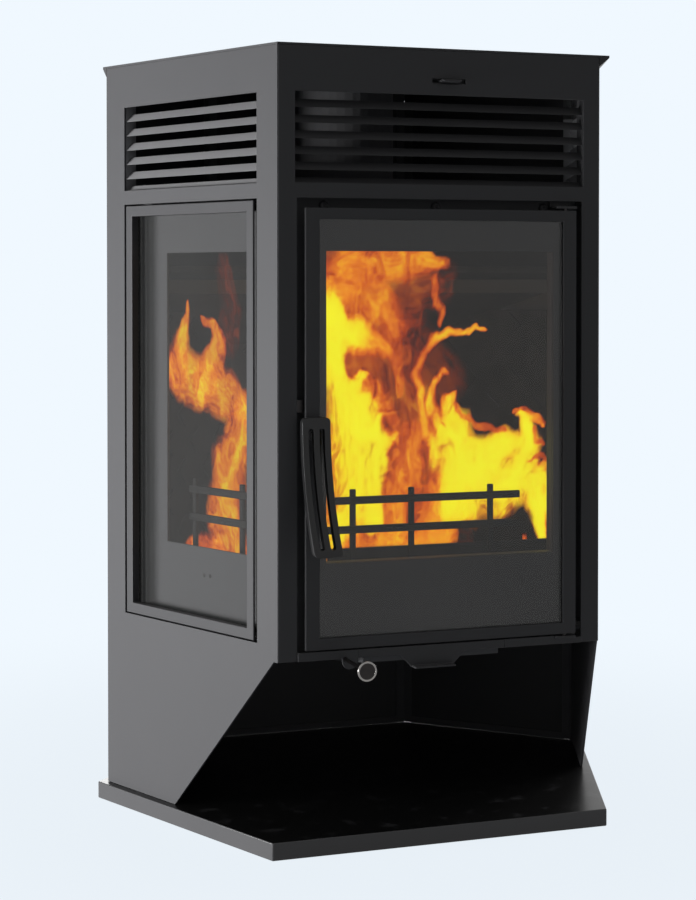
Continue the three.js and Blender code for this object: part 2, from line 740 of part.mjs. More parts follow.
// A rectangular ring on a wall: outer limits, inner limits and depths.
function ring(wall, outer, inner, depth) {
  const shape = rectangle(...outer);
  shape.holes.push(rectangle(...inner));
  return wallPlate(wall, shape, depth);
}

// A side wall of the firebox, with its fire opening and the collar that the window seals on.
function fireboxSide() {
  const behindFront = (shell) => shell.with(FRONT, FRONT_BACK_Y + SEAM);
  const sheet = mitredStrip(RIGHT, behindFront(SHELL_OUTER), behindFront(SHELL_INNER), WALL_LEVELS);
  const pane = [PANE_SPAN, PANE_LEVELS];
  const collar = ring(
    RIGHT,
    growBoth(pane, FRAME_BORDER - SEAM),
    growBoth(pane, FRAME_BORDER - COLLAR_SHEET),
    [COLLAR_FRONT, FIREBOX_SIDE_DEPTH + SEAM],
  );
  const opening = rectangle([SIDE_OPENING_START, SIDE_OPENING_START + SIDE_OPENING_LENGTH], FIRE_LEVELS);
  const through = [COLLAR_FRONT - OVERCUT, SHELL_WALL + OVERCUT];
  return cut(join(sheet, collar), wallPlate(RIGHT, opening, through));
}

// The rear of the firebox is one sheet bent twice, so its three faces are one piece.
function fireboxBack() {
  const outer = insetPlan(SHELL_OUTER);
  const inner = insetPlan(SHELL_INNER);
  const faces = [RIGHT_REAR, BACK, LEFT_REAR, LEFT];
  const outline = [...faces.map((i) => outer[i]), ...faces.reverse().map((i) => inner[i])];
  return prism(outline, WALL_LEVELS);
}

const DUCT_FOOT = FIREBOX_ROOF_LEVEL + FIREBOX_SHEET + SEAM;
const COLLAR_FOOT = BODY_HEIGHT + SEAM;

function fireboxRoof() {
  const plate = prism(insetPlan(SHELL_OUTER), [FIREBOX_ROOF_LEVEL, FIREBOX_ROOF_LEVEL + FIREBOX_SHEET]);
  const levels = [FIREBOX_ROOF_LEVEL - OVERCUT, DUCT_FOOT + OVERCUT];
  return cut(plate, bar("z", levels, 2 * FLUE_HOLE, FLUE_AT, ROUND_STEPS));
}

// A tube of the flue with a flange round its foot.
const flangedTube = (foot, top) =>
  turned(
    [
      [FLUE_BORE, foot],
      [FLUE_RADIUS + FLUE_FLANGE, foot],
      [FLUE_RADIUS + FLUE_FLANGE, foot + CAP_SHEET],
      [FLUE_RADIUS, foot + CAP_SHEET],
      [FLUE_RADIUS, top],
      [FLUE_BORE, top],
    ],
    FLUE_AT,
  );

place(firebox, "firebox_floor", fireboxFloor(), FIREBOX_PAINT);
place(firebox, "firebox_front", fireboxFront(), FIREBOX_PAINT);
placePair(firebox, "firebox_side", fireboxSide(), FIREBOX_PAINT);
place(firebox, "firebox_back", fireboxBack(), FIREBOX_PAINT);
place(firebox, "firebox_roof", fireboxRoof(), FIREBOX_PAINT);
place(firebox, "flue_duct", flangedTube(DUCT_FOOT, BODY_HEIGHT), FIREBOX_PAINT);
place(firebox, "flue_collar", flangedTube(COLLAR_FOOT, COLLAR_FOOT + FLUE_SPIGOT), CAST_IRON);

// ---------------------------------------------------------------- liners, baffle, grate and fence

const LINER_FACE = FIREBOX_REAR_DEPTH + FIREBOX_SHEET + SEAM;
const LINER_FRONT = LINER_FACE + LINER_THICKNESS;
const LINER_LEVELS = [WALL_FOOT, BODY_HEIGHT - LINER_DROP];
const LINER_HEIGHT = LINER_LEVELS[1] - LINER_LEVELS[0];

const BAFFLE_FRONT_LEVEL = BODY_HEIGHT - BAFFLE_DROP;

// The level of the baffle's underside at a distance back from the front face.
const baffleLevel = (y) => BAFFLE_FRONT_LEVEL - (y - BAFFLE_FRONT_Y) * Math.tan(BAFFLE_SLOPE);

// A wide slab on the baffle's slope, from its underside or from a lift above it.
function slopedSlab(thickness, [nearY, farY], lift) {
  const upright = thickness / Math.cos(BAFFLE_SLOPE);
  const profile = [
    [nearY, baffleLevel(nearY) + lift],
    [farY, baffleLevel(farY) + lift],
    [farY, baffleLevel(farY) + lift + upright],
    [nearY, baffleLevel(nearY) + lift + upright],
  ];
  return acrossStove(polygon(profile), 2 * shoulder[0]);
}

// A raised lozenge with sloped edges, facing the fire from a liner's face at Z = 0.
function lozenge() {
  const share = 1 - (2 * TILE_EDGE) / TILE_WIDTH;
  const depth = TILE_RELIEF + LINER_THICKNESS / 2;
  const tile = new THREE.CylinderGeometry(1, share, depth, 4).rotateX(Math.PI / 2);
  return tile.scale(TILE_WIDTH / 2, TILE_HEIGHT / 2, 1).translate(0, 0, depth / 2 - TILE_RELIEF);
}

// A cast liner on a rear wall: staggered rows of lozenges, cut off under the baffle.
function liner(wall) {
  const before = depths(LINER_FACE, SHELL_WALL + SEAM, LINER_FACE);
  const behind = depths(LINER_FRONT, SHELL_WALL + SEAM, LINER_FRONT);
  const slab = mitredStrip(wall, before, behind, LINER_LEVELS);
  const { start, along } = WALLS[wall];
  const corners = insetPlan(behind);
  const reach = ([x, y]) => (x - start[0]) * along[0] + (y - start[1]) * along[1];
  const from = reach(corners[wall]);
  const faceLength = reach(corners[wall + 1]) - from;
  const columns = Math.floor((faceLength - TILE_WIDTH) / TILE_PITCH_ALONG);
  const rows = Math.floor((LINER_HEIGHT - TILE_HEIGHT) / TILE_PITCH_UP);
  const margin = (faceLength - columns * TILE_PITCH_ALONG) / 2;
  const foot = LINER_LEVELS[0] + (LINER_HEIGHT - rows * TILE_PITCH_UP) / 2;
  const tiles = [];
  for (let column = 0; column <= columns; column += 1) {
    for (let row = column % 2; row <= rows; row += 2) {
      const at = from + margin + column * TILE_PITCH_ALONG;
      const up = foot + row * TILE_PITCH_UP;
      tiles.push(onWall(wall, lozenge().translate(at, up, -LINER_FRONT)));
    }
  }
  const above = slopedSlab(LINER_HEIGHT, [0, 2 * backCorner[1]], -SEAM);
  return cut(join(slab, ...tiles), above);
}

// The smoke baffle: a sloped plate that follows the firebox walls and rests on the liners.
function baffle() {
  const plan = insetPlan(depths(BAFFLE_FRONT_Y, SHELL_WALL + SEAM, LINER_FACE));
  const rest = slopedSlab(BAFFLE_THICKNESS, [BAFFLE_FRONT_Y, 2 * backCorner[1]], 0);
  return common(prism(plan, [WALL_FOOT, FIREBOX_ROOF_LEVEL]), rest);
}

// The angle bar that carries the baffle's front edge from one side wall to the other.
function baffleSupport() {
  const y = BAFFLE_FRONT_Y + SEAM;
  const top = baffleLevel(y + SUPPORT_SIZE) - SEAM;
  const plan = insetPlan(depths(y, SHELL_WALL + SEAM, LINER_FACE));
  const profile = polygon([
    [y, top - SUPPORT_SIZE],
    [y + SUPPORT_SHEET, top - SUPPORT_SIZE],
    [y + SUPPORT_SHEET, top - SUPPORT_SHEET],
    [y + SUPPORT_SIZE, top - SUPPORT_SHEET],
    [y + SUPPORT_SIZE, top],
    [y, top],
  ]);
  return common(prism(plan, [WALL_FOOT, FIREBOX_ROOF_LEVEL]), acrossStove(profile, 2 * shoulder[0]));
}

// The cast grate over the ash hole: a rim with long slots between bars.
function grate() {
  const [gateX, gateY] = [span(DRAWER_X, GRATE_SIZE_X), span(GRATE_Y, GRATE_SIZE_Y)];
  const levels = [WALL_FOOT, WALL_FOOT + GRATE_THICKNESS];
  const pitch = GRATE_SLOT + GRATE_BAR;
  const count = Math.floor((GRATE_SIZE_X - 2 * GRATE_RIM + GRATE_BAR) / pitch);
  const slots = Array.from({ length: count }, (_, i) => {
    const at = DRAWER_X + (i - (count - 1) / 2) * pitch;
    return box(span(at, GRATE_SLOT), grown(gateY, -GRATE_RIM), grown(levels, OVERCUT));
  });
  return cut(box(gateX, gateY, levels), ...slots);
}

// A run of the log fence drawn flat: two rails and the posts that stand on the floor.
function fence(wall, depth, [from, to], postShares) {
  const rails = [FENCE_LOWER_RAIL, FENCE_UPPER_RAIL].map((level) =>
    wallPlate(wall, rectangle([from, to], [level, level + FENCE_BAR_HEIGHT]), [
      depth,
      depth + FENCE_BAR_DEPTH,
    ]),
  );
  const posts = postShares.map((share) => {
    const at = from + (to - from) * share;
    return wallPlate(wall, rectangle(span(at, FENCE_POST_WIDTH), [WALL_FOOT, FENCE_TOP]), [
      depth + FENCE_POST_INSET,
      depth + FENCE_BAR_DEPTH,
    ]);
  });
  return join(...rails, ...posts);
}

const frontFence = () =>
  fence(FRONT, FENCE_Y, span(FRONT_MIDDLE, FENCE_WIDTH), FENCE_POST_SHARES);

const sideFence = () =>
  fence(
    RIGHT,
    FENCE_SIDE_DEPTH,
    [FENCE_SIDE_START, FENCE_SIDE_START + FENCE_SIDE_LENGTH],
    FENCE_SIDE_POST_SHARES,
  );

place(firebox, "back_liner", liner(BACK), CAST_IRON);
placePair(firebox, "rear_liner", liner(RIGHT_REAR), CAST_IRON);
place(firebox, "baffle", baffle(), CAST_IRON);
place(firebox, "baffle_support", baffleSupport(), FIREBOX_PAINT);
place(firebox, "grate", grate(), CAST_IRON);
place(firebox, "front_fence", frontFence(), CAST_IRON);
placePair(firebox, "side_fence", sideFence(), CAST_IRON);

// ---------------------------------------------------------------- side windows

function windowFrame() {
  const outer = [FRAME_SPAN, FRAME_LEVELS];
  const pane = [PANE_SPAN, PANE_LEVELS];
  const face = ring(RIGHT, outer, pane, [-FRAME_PROUD, FRAME_SHEET - FRAME_PROUD]);
  const lip = ring(RIGHT, growBoth(pane, FRAME_SHEET), pane, [0, FRAME_DEPTH - FRAME_PROUD]);
  return join(face, lip);
}

const windowGlass = () =>
  wallPlate(
    RIGHT,
    rectangle(grown(PANE_SPAN, WINDOW_GLASS_LAP), grown(PANE_LEVELS, WINDOW_GLASS_LAP)),
    [PANE_FRONT, PANE_FRONT + GLASS],
  );

function windowGasket() {
  const pane = [PANE_SPAN, PANE_LEVELS];
  const front = PANE_FRONT + GLASS + SEAM;
  const outer = growBoth(pane, FRAME_BORDER - GASKET_EDGE);
  return ring(RIGHT, outer, growBoth(pane, GASKET_EDGE), [front, front + GASKET]);
}

const windows = groupAt(stove);
placePair(windows, "window_frame", windowFrame(), FRAME_PAINT);
placePair(windows, "window_glass", windowGlass(), CLEAR_GLASS);
placePair(windows, "window_gasket", windowGasket(), ROPE);

// ---------------------------------------------------------------- door

const DOOR_TOP = DOOR_OPENING_TOP - DOOR_TOP_GAP;
const DOOR_LEVELS = [DOOR_BOTTOM, DOOR_TOP];
const VIEW_SPAN = grown(DOOR_SPAN, -DOOR_BORDER_SIDE);
const VIEW_LEVELS = grown(DOOR_LEVELS, -DOOR_BORDER_END);
const DOOR_PLATE = [-DOOR_PROUD, -DOOR_PROUD + DOOR_SHEET];
const GLASS_DEPTH = [DOOR_PLATE[1] + SEAM, DOOR_PLATE[1] + SEAM + GLASS];
const RETAINER_DEPTH = [GLASS_DEPTH[1] + SEAM, GLASS_DEPTH[1] + SEAM + RETAINER_SHEET];
const GLASS_SPAN = grown(VIEW_SPAN, GLASS_LAP);
const HINGE_X = DOOR_HALF - HINGE_INSET;
const BLOCK_BACK = DOOR_PLATE[1] + HINGE_BLOCK_DEPTH;
const UPPER_BLOCK = [DOOR_TOP - HINGE_BLOCK_HEIGHT, DOOR_TOP];
const LOWER_BLOCK = [DOOR_BOTTOM, DOOR_BOTTOM + HINGE_BLOCK_HEIGHT];

// A frame of rectangular outline that faces the front: outer limits, inner limits and depths.
const frontRing = ([outerX, outerZ], [innerX, innerZ], depth) =>
  cut(box(outerX, depth, outerZ), box(innerX, grown(depth, OVERCUT), innerZ));

const hingeHole = (levels) => bar("z", grown(levels, OVERCUT), HINGE_PIN + 2 * PIN_FIT, [HINGE_X, HINGE_Y]);

function doorFrame() {
  const outer = [DOOR_SPAN, DOOR_LEVELS];
  const face = frontRing(outer, [VIEW_SPAN, VIEW_LEVELS], DOOR_PLATE);
  const rimDepth = [DOOR_PLATE[0], DOOR_PLATE[1] + DOOR_RIM_DEPTH];
  const rim = frontRing(outer, growBoth(outer, -DOOR_SHEET), rimDepth);
  const blocks = [UPPER_BLOCK, LOWER_BLOCK].map((levels) =>
    box(span(HINGE_X, HINGE_BLOCK_WIDTH), [DOOR_PLATE[1] - JOIN_DEPTH, BLOCK_BACK], levels),
  );
  const shaftHole = bar(
    "y",
    grown(DOOR_PLATE, OVERCUT),
    SHAFT + 2 * PIN_FIT,
    [PIVOT_X, PIVOT_LEVEL],
  );
  return cut(join(face, rim, ...blocks), hingeHole(UPPER_BLOCK), hingeHole(LOWER_BLOCK), shaftHole);
}

const doorGlass = () => box(GLASS_SPAN, GLASS_DEPTH, grown(DOOR_LEVELS, -GLASS_END_GAP));

function glassRetainer() {
  const outer = [grown(VIEW_SPAN, RETAINER_LAP), grown(VIEW_LEVELS, GLASS_LAP)];
  return frontRing(outer, [FIRE_OPENING, FIRE_LEVELS], RETAINER_DEPTH);
}

function doorGasket() {
  const fire = [FIRE_OPENING, FIRE_LEVELS];
  return frontRing(growBoth(fire, SEAL_RIM), growBoth(fire, GASKET_EDGE), [
    RETAINER_DEPTH[1] + SEAM,
    RETAINER_DEPTH[1] + SEAM + GASKET,
  ]);
}

// A hinge bracket: a plate over or under the door's edge, with a leg on the firebox's front plate.
function hingeBracket(level, leg) {
  const depth = [-BRACKET_PROUD, FIREBOX_FRONT_DEPTH - SEAM];
  const across = span(HINGE_X, BRACKET_WIDTH);
  const plate = box(across, depth, [level, level + BRACKET_SHEET]);
  const upright = box(across, [depth[1] - BRACKET_SHEET, depth[1]], leg);
  return cut(join(plate, upright), hingeHole([level, level + BRACKET_SHEET]));
}

const UPPER_BRACKET = DOOR_TOP + BRACKET_GAP;
const LOWER_BRACKET = DOOR_BOTTOM - BRACKET_GAP - BRACKET_SHEET;
const upperBracket = () =>
  hingeBracket(UPPER_BRACKET, [UPPER_BRACKET, UPPER_BRACKET + BRACKET_LEG]);
const lowerBracket = () =>
  hingeBracket(LOWER_BRACKET, [LOWER_BRACKET + BRACKET_SHEET - BRACKET_LEG, LOWER_BRACKET + BRACKET_SHEET]);

const hingePin = (levels) => bar("z", levels, HINGE_PIN, [HINGE_X, HINGE_Y]);

const PIVOT_X = -(DOOR_HALF - DOOR_BORDER_SIDE / 2);
const PIVOT_LEVEL = HANDLE_TOP - PIVOT_DROP;
const HANDLE_FRONT = DOOR_PLATE[0] - HANDLE_STANDOFF - HANDLE_THICKNESS;
const HOOK_DEPTH = [
  RETAINER_DEPTH[1] + HOOK_BACK_GAP,
  RETAINER_DEPTH[1] + HOOK_BACK_GAP + HOOK_SHEET,
];

const door = groupAt(stove, HINGE_X, HINGE_Y, 0);
place(door, "door_frame", doorFrame(), FRAME_PAINT);
place(door, "door_glass", doorGlass(), CLEAR_GLASS);
place(door, "glass_retainer", glassRetainer(), FRAME_PAINT);
place(door, "door_gasket", doorGasket(), ROPE);

const hinges = groupAt(stove);
place(hinges, "upper_hinge_bracket", upperBracket(), FRAME_PAINT);
place(hinges, "lower_hinge_bracket", lowerBracket(), FRAME_PAINT);
place(
  hinges,
  "upper_hinge_pin",
  hingePin([UPPER_BLOCK[0], UPPER_BRACKET + BRACKET_SHEET]),
  BARE_STEEL,
);
place(hinges, "lower_hinge_pin", hingePin([LOWER_BRACKET, LOWER_BLOCK[1]]), BARE_STEEL);

// ---------------------------------------------------------------- handle and latch

// The outline of the handle seen from the front: a rounded strap with two long slots.
function handleOutline() {
  const bottom = HANDLE_TOP - HANDLE_LENGTH;
  const shape = rectangle(span(PIVOT_X, HANDLE_WIDTH), [bottom, HANDLE_TOP], HANDLE_CORNER);
  const offset = (HANDLE_SLOT + HANDLE_BAR) / 2;
  for (const x of [PIVOT_X - offset, PIVOT_X + offset]) {
    const levels = [bottom + HANDLE_SLOT_BOTTOM, HANDLE_TOP - HANDLE_SLOT_TOP];
    shape.holes.push(rectangle(span(x, HANDLE_SLOT), levels, roundEnd(HANDLE_SLOT)));
  }
  return shape;
}

// The strap's side view: an arc that leaves the door upright at its top and bows out below.
function handleProfile() {
  const centre = [HANDLE_FRONT - HANDLE_RADIUS, HANDLE_TOP];
  const sweep = Math.asin(HANDLE_LENGTH / HANDLE_RADIUS);
  const arc = (radius, from, to) =>
    Array.from({ length: HANDLE_STEPS + 1 }, (_, i) => {
      const angle = from + ((to - from) * i) / HANDLE_STEPS;
      return [centre[0] + radius * Math.cos(angle), centre[1] - radius * Math.sin(angle)];
    });
  return [...arc(HANDLE_RADIUS, 0, sweep), ...arc(HANDLE_RADIUS + HANDLE_THICKNESS, sweep, 0)];
}

function doorHandle() {
  const reach = HANDLE_LENGTH + HANDLE_THICKNESS;
  const outline = extrude(handleOutline(), 2 * reach).rotateX(Math.PI / 2).translate(0, reach, 0);
  const strap = common(acrossStove(polygon(handleProfile()), HANDLE_WIDTH * 2, PIVOT_X), outline);
  const boss = bar(
    "y",
    [HANDLE_FRONT + HANDLE_THICKNESS / 2, DOOR_PLATE[0] - SEAM],
    PIVOT_BOSS,
    [PIVOT_X, PIVOT_LEVEL],
  );
  return join(strap, boss);
}

const handleShaft = () =>
  bar("y", [DOOR_PLATE[0], HOOK_DEPTH[0] - SEAM], SHAFT, [PIVOT_X, PIVOT_LEVEL]);

// The latch hook: an arm up from the shaft with a nose toward the catch.
function latchHook() {
  const half = HOOK_WIDTH / 2;
  const top = PIVOT_LEVEL + HOOK_ARM;
  const tip = PIVOT_X - HOOK_REACH;
  const points = [
    [PIVOT_X + half, PIVOT_LEVEL - half],
    [PIVOT_X + half, top],
    [tip, top],
    [tip, top - HOOK_NOSE],
    [PIVOT_X - half, top - HOOK_NOSE],
    [PIVOT_X - half, PIVOT_LEVEL - half],
  ];
  return frontFacing(polygon(points), HOOK_DEPTH);
}

// The catch on the firebox's front plate: its lip stands in front of the hook's nose.
function latchCatch() {
  const tip = PIVOT_X - HOOK_REACH;
  const level = PIVOT_LEVEL + HOOK_ARM - HOOK_NOSE / 2;
  const lip = [HOOK_DEPTH[0] - SLIDE_FIT - CATCH_SHEET, HOOK_DEPTH[0] - SLIDE_FIT];
  const web = [tip - SLIDE_FIT - CATCH_SHEET, tip - SLIDE_FIT];
  const levels = span(level, CATCH_HEIGHT);
  return join(
    box([web[0], tip + CATCH_LIP], lip, levels),
    box(web, [lip[0], FIREBOX_FRONT_DEPTH - SEAM], levels),
  );
}

const handle = groupAt(door, PIVOT_X - HINGE_X, -HINGE_Y, PIVOT_LEVEL);
place(handle, "door_handle", doorHandle(), FRAME_PAINT);
place(handle, "handle_shaft", handleShaft(), BARE_STEEL);
place(handle, "latch_hook", latchHook(), BARE_STEEL);
place(hinges, "latch_catch", latchCatch(), BARE_STEEL);

// ---------------------------------------------------------------- sill and ash drawer

const SILL_DEPTH = [-SILL_SHEET - SEAM, -SEAM];
const SILL_HALF = DOOR_OPENING_WIDTH / 2 - SEAM;
const BRACKET_SPAN = span(HINGE_X, BRACKET_WIDTH);

// The sill under the door: strips each side of the drawer on one flange, and the lug for the rod.
function frontSill() {
  const left = box([-SILL_HALF, DRAWER_SPAN[0] - SEAM], SILL_DEPTH, [SILL_BOTTOM, SILL_TOP]);
  const right = box([DRAWER_SPAN[1] + SEAM, BRACKET_SPAN[0] - SEAM], SILL_DEPTH, [SILL_BOTTOM, SILL_TOP]);
  const under = box([DRAWER_SPAN[1] + SEAM, SILL_HALF], SILL_DEPTH, [SILL_BOTTOM, LOWER_BRACKET - SEAM]);
  const flange = box(
    [-SILL_HALF, BRACKET_SPAN[0] - SEAM],
    [-SEAM, FIREBOX_FRONT_DEPTH - SEAM],
    [SILL_FLANGE_LEVEL, SILL_FLANGE_LEVEL + SILL_FLANGE_SHEET],
  );
  const lug = frontFacing(lugShape(), SILL_DEPTH);
  const hole = bar("y", grown(SILL_DEPTH, OVERCUT), ROD + 2 * PIN_FIT, [ROD_X, ROD_LEVEL]);
  return cut(join(left, right, under, flange, lug), hole);
}

// The lug hangs from the sill and has a half-round foot.
function lugShape() {
  const radius = LUG_WIDTH / 2;
  const shape = new THREE.Shape();
  shape.moveTo(LUG_X - radius, SILL_TOP);
  shape.lineTo(LUG_X - radius, LUG_BOTTOM + radius);
  shape.absarc(LUG_X, LUG_BOTTOM + radius, radius, Math.PI, 2 * Math.PI);
  shape.lineTo(LUG_X + radius, SILL_TOP);
  return shape;
}

const TRAY_SPAN = grown(DRAWER_SPAN, -DRAWER_FLANGE);
const TRAY_DEPTH = [0, DRAWER_DEPTH];

// The drawer's front: a strip flush with the sill, a tab below it and a lip folded out to pull.
function drawerFront() {
  const strip = box(DRAWER_SPAN, SILL_DEPTH, [SILL_BOTTOM, SILL_TOP]);
  const tab = polygon([
    [DRAWER_X - TAB_TOP_WIDTH / 2, SILL_BOTTOM + JOIN_DEPTH],
    [DRAWER_X - TAB_BOTTOM_WIDTH / 2, TAB_BOTTOM],
    [DRAWER_X + TAB_BOTTOM_WIDTH / 2, TAB_BOTTOM],
    [DRAWER_X + TAB_TOP_WIDTH / 2, SILL_BOTTOM + JOIN_DEPTH],
  ]);
  const lipShape = rectangle(
    span(DRAWER_X, TAB_BOTTOM_WIDTH),
    [SILL_DEPTH[0] - TAB_LIP, SILL_DEPTH[1]],
    TAB_SHEET,
  );
  const lip = extrude(lipShape, TAB_SHEET).translate(0, 0, TAB_BOTTOM);
  return join(strip, frontFacing(tab, SILL_DEPTH), lip);
}

// The tray: open above, its floor falls towards the rear, and its sides turn out onto the runners.
function drawerTray() {
  const outer = [
    [TRAY_DEPTH[0], DRAWER_TOP],
    [TRAY_DEPTH[0], DRAWER_FRONT_FLOOR],
    [TRAY_DEPTH[1], DRAWER_REAR_FLOOR],
    [TRAY_DEPTH[1], DRAWER_TOP],
  ];
  const inner = [
    [TRAY_DEPTH[0] + DRAWER_SHEET, DRAWER_TOP + OVERCUT],
    [TRAY_DEPTH[0] + DRAWER_SHEET, DRAWER_FRONT_FLOOR + DRAWER_SHEET],
    [TRAY_DEPTH[1] - DRAWER_SHEET, DRAWER_REAR_FLOOR + DRAWER_SHEET],
    [TRAY_DEPTH[1] - DRAWER_SHEET, DRAWER_TOP + OVERCUT],
  ];
  const width = TRAY_SPAN[1] - TRAY_SPAN[0];
  const body = acrossStove(polygon(outer), width, DRAWER_X);
  const room = acrossStove(polygon(inner), width - 2 * DRAWER_SHEET, DRAWER_X);
  const flanges = box(DRAWER_SPAN, [RUNNER_START, TRAY_DEPTH[1]], [DRAWER_TOP - DRAWER_SHEET, DRAWER_TOP]);
  return cut(join(body, flanges), room);
}

// A rail under the floor that the right flange of the tray slides on.
function drawerRunner(side) {
  const edge = side > 0 ? DRAWER_SPAN[1] : DRAWER_SPAN[0];
  const ledgeTop = DRAWER_TOP - DRAWER_SHEET - SLIDE_FIT;
  const along = [RUNNER_START, RUNNER_END];
  const ordered = (a, b) => [Math.min(a, b), Math.max(a, b)];
  const web = ordered(edge + side * SLIDE_FIT, edge + side * (SLIDE_FIT + RUNNER_SHEET));
  const ledge = ordered(edge - side * (DRAWER_FLANGE - SLIDE_FIT), web[side > 0 ? 1 : 0]);
  return join(
    box(web, along, [ledgeTop - RUNNER_SHEET, FIREBOX_FLOOR_LEVEL - SEAM]),
    box(ledge, along, [ledgeTop - RUNNER_SHEET, ledgeTop]),
  );
}

const drawer = groupAt(stove);
place(casing, "front_sill", frontSill(), FRAME_PAINT);
place(firebox, "left_drawer_runner", drawerRunner(-1), FIREBOX_PAINT);
place(firebox, "right_drawer_runner", drawerRunner(1), FIREBOX_PAINT);
place(drawer, "ash_drawer_front", drawerFront(), FRAME_PAINT);
place(drawer, "ash_drawer_tray", drawerTray(), FIREBOX_PAINT);

// ---------------------------------------------------------------- air controls

const ROD_SPAN = [-ROD_OUT, ROD_IN];

const airRod = () => bar("y", ROD_SPAN, ROD, [ROD_X, ROD_LEVEL]);

// The knob: a round disc with a raised ring round a dished face.
function airKnob() {
  const radius = KNOB / 2;
  const ringWidth = radius / 3;
  const profile = [
    [0, 0],
    [radius - KNOB_EDGE, 0],
    [radius, KNOB_DEPTH / 3],
    [radius, KNOB_DEPTH - KNOB_EDGE],
    [radius - KNOB_EDGE, KNOB_DEPTH],
    [radius - ringWidth, KNOB_DEPTH],
    [0, KNOB_DEPTH - KNOB_DISH],
  ];
  const points = profile.map(([r, along]) => new THREE.Vector2(r, along));
  const knob = new THREE.LatheGeometry(points, ROUND_STEPS / 2).rotateX(Math.PI);
  return knob.translate(ROD_X, -ROD_OUT - SEAM, ROD_LEVEL);
}

// The gate that the rod slides across the air port under the floor.
function airGate() {
  const under = FIREBOX_FLOOR_LEVEL - SLIDE_FIT;
  const stemFront = ROD_IN + SEAM;
  const plate = box(span(ROD_X, GATE_WIDTH), span(ROD_IN, GATE_LENGTH), [under - GATE_SHEET, under]);
  const stem = box(span(ROD_X, ROD), [stemFront, stemFront + ROD], [ROD_LEVEL - ROD / 2, under - JOIN_DEPTH]);
  return join(plate, stem);
}

const air = groupAt(stove);
place(air, "air_rod", airRod(), BARE_STEEL);
place(air, "air_knob", airKnob(), BARE_STEEL);
place(air, "air_gate", airGate(), FIREBOX_PAINT);

const LEVER_LEVELS = span(SLOT_BOTTOM + SLOT_HEIGHT / 2, LEVER_SHEET);

const airLever = () =>
  extrude(rectangle(span(SLOT_X, LEVER_WIDTH), [-LEVER_OUT, LEVER_IN], LEVER_SHEET), LEVER_SHEET).translate(
    0,
    0,
    LEVER_LEVELS[0],
  );

// The shelf behind the front panel that the lever slides on.
function leverGuide() {
  const across = span(SLOT_X, LEVER_GUIDE_WIDTH);
  const top = LEVER_LEVELS[0] - SLIDE_FIT;
  return join(
    box(across, [CLOSE, LEVER_IN], [top - LEVER_GUIDE_SHEET, top]),
    box(across, [CLOSE, CLOSE + LEVER_GUIDE_SHEET], [top - LEVER_GUIDE_DROP, top]),
  );
}

const lever = groupAt(stove);
place(lever, "air_lever", airLever(), FRAME_PAINT);
place(casing, "lever_guide", leverGuide(), FIREBOX_PAINT);

// ---------------------------------------------------------------- origin

// The part's own origin is under the middle of its box, on the floor.
const extent = new THREE.Box3().setFromObject(stove);
const middle = extent.getCenter(new THREE.Vector3());
stove.position.set(-middle.x, -middle.y, -extent.min.z);

export default stove;
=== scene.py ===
"""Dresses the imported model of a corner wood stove: paints, glass, rope seals, screws, logs and fire.

Every length is in metres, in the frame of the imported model: +Z up, the door faces -Y.
"""

from __future__ import annotations

import json
import logging
import math
from collections.abc import Sequence
from dataclasses import dataclass, field
from enum import Enum

import bmesh
import bpy
import numpy as np
from mathutils import Matrix, Vector

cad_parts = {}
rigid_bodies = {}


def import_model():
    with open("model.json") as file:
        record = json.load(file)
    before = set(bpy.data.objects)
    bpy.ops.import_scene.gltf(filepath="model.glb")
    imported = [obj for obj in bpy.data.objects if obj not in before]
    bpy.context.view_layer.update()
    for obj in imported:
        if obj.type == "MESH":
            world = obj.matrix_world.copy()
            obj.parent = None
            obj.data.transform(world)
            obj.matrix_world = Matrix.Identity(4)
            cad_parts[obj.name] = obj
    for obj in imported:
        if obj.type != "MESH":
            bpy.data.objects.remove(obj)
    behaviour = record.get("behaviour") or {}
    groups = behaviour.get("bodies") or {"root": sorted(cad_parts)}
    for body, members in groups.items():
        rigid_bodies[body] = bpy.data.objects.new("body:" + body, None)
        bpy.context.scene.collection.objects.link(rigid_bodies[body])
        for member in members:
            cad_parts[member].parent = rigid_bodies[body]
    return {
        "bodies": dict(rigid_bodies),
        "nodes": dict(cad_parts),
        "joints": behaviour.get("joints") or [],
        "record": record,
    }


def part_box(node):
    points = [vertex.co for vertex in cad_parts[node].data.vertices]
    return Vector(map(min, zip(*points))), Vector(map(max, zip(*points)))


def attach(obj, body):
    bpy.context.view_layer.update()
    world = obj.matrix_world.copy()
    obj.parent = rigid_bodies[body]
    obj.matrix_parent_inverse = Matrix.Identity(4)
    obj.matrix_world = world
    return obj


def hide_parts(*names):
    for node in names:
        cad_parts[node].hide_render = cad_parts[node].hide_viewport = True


LOG = logging.getLogger("stove")
MM = 0.001
FLARE = math.radians(21.3)  # how far each side wall turns out from straight back
FRONT_FACE_Y = -0.246207
FRONT_HALF = 0.229
REAR_SLANT = math.radians(45)


class Body(Enum):
    """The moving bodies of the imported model."""

    STOVE = "stove_body"
    DOOR = "door"
    HANDLE = "handle"
    DRAWER = "ash_drawer"
    AIR_ROD = "air_control"
    AIR_LEVER = "air_lever_body"


class Side(Enum):
    """Left and right of someone facing the door."""

    LEFT = -1
    RIGHT = 1


# ---------------------------------------------------------------- shader helpers


def linear(hex_colour: str) -> tuple[float, float, float, float]:
    """Turns an sRGB hex colour into linear RGBA.

    Args:
        hex_colour: the colour as "#rrggbb".

    Returns:
        Linear red, green and blue, and an alpha of 1.
    """
    parts = [int(hex_colour[i : i + 2], 16) / 255 for i in (1, 3, 5)]
    red, green, blue = (
        p / 12.92 if p <= 0.04045 else ((p + 0.055) / 1.055) ** 2.4 for p in parts
    )
    return red, green, blue, 1.0


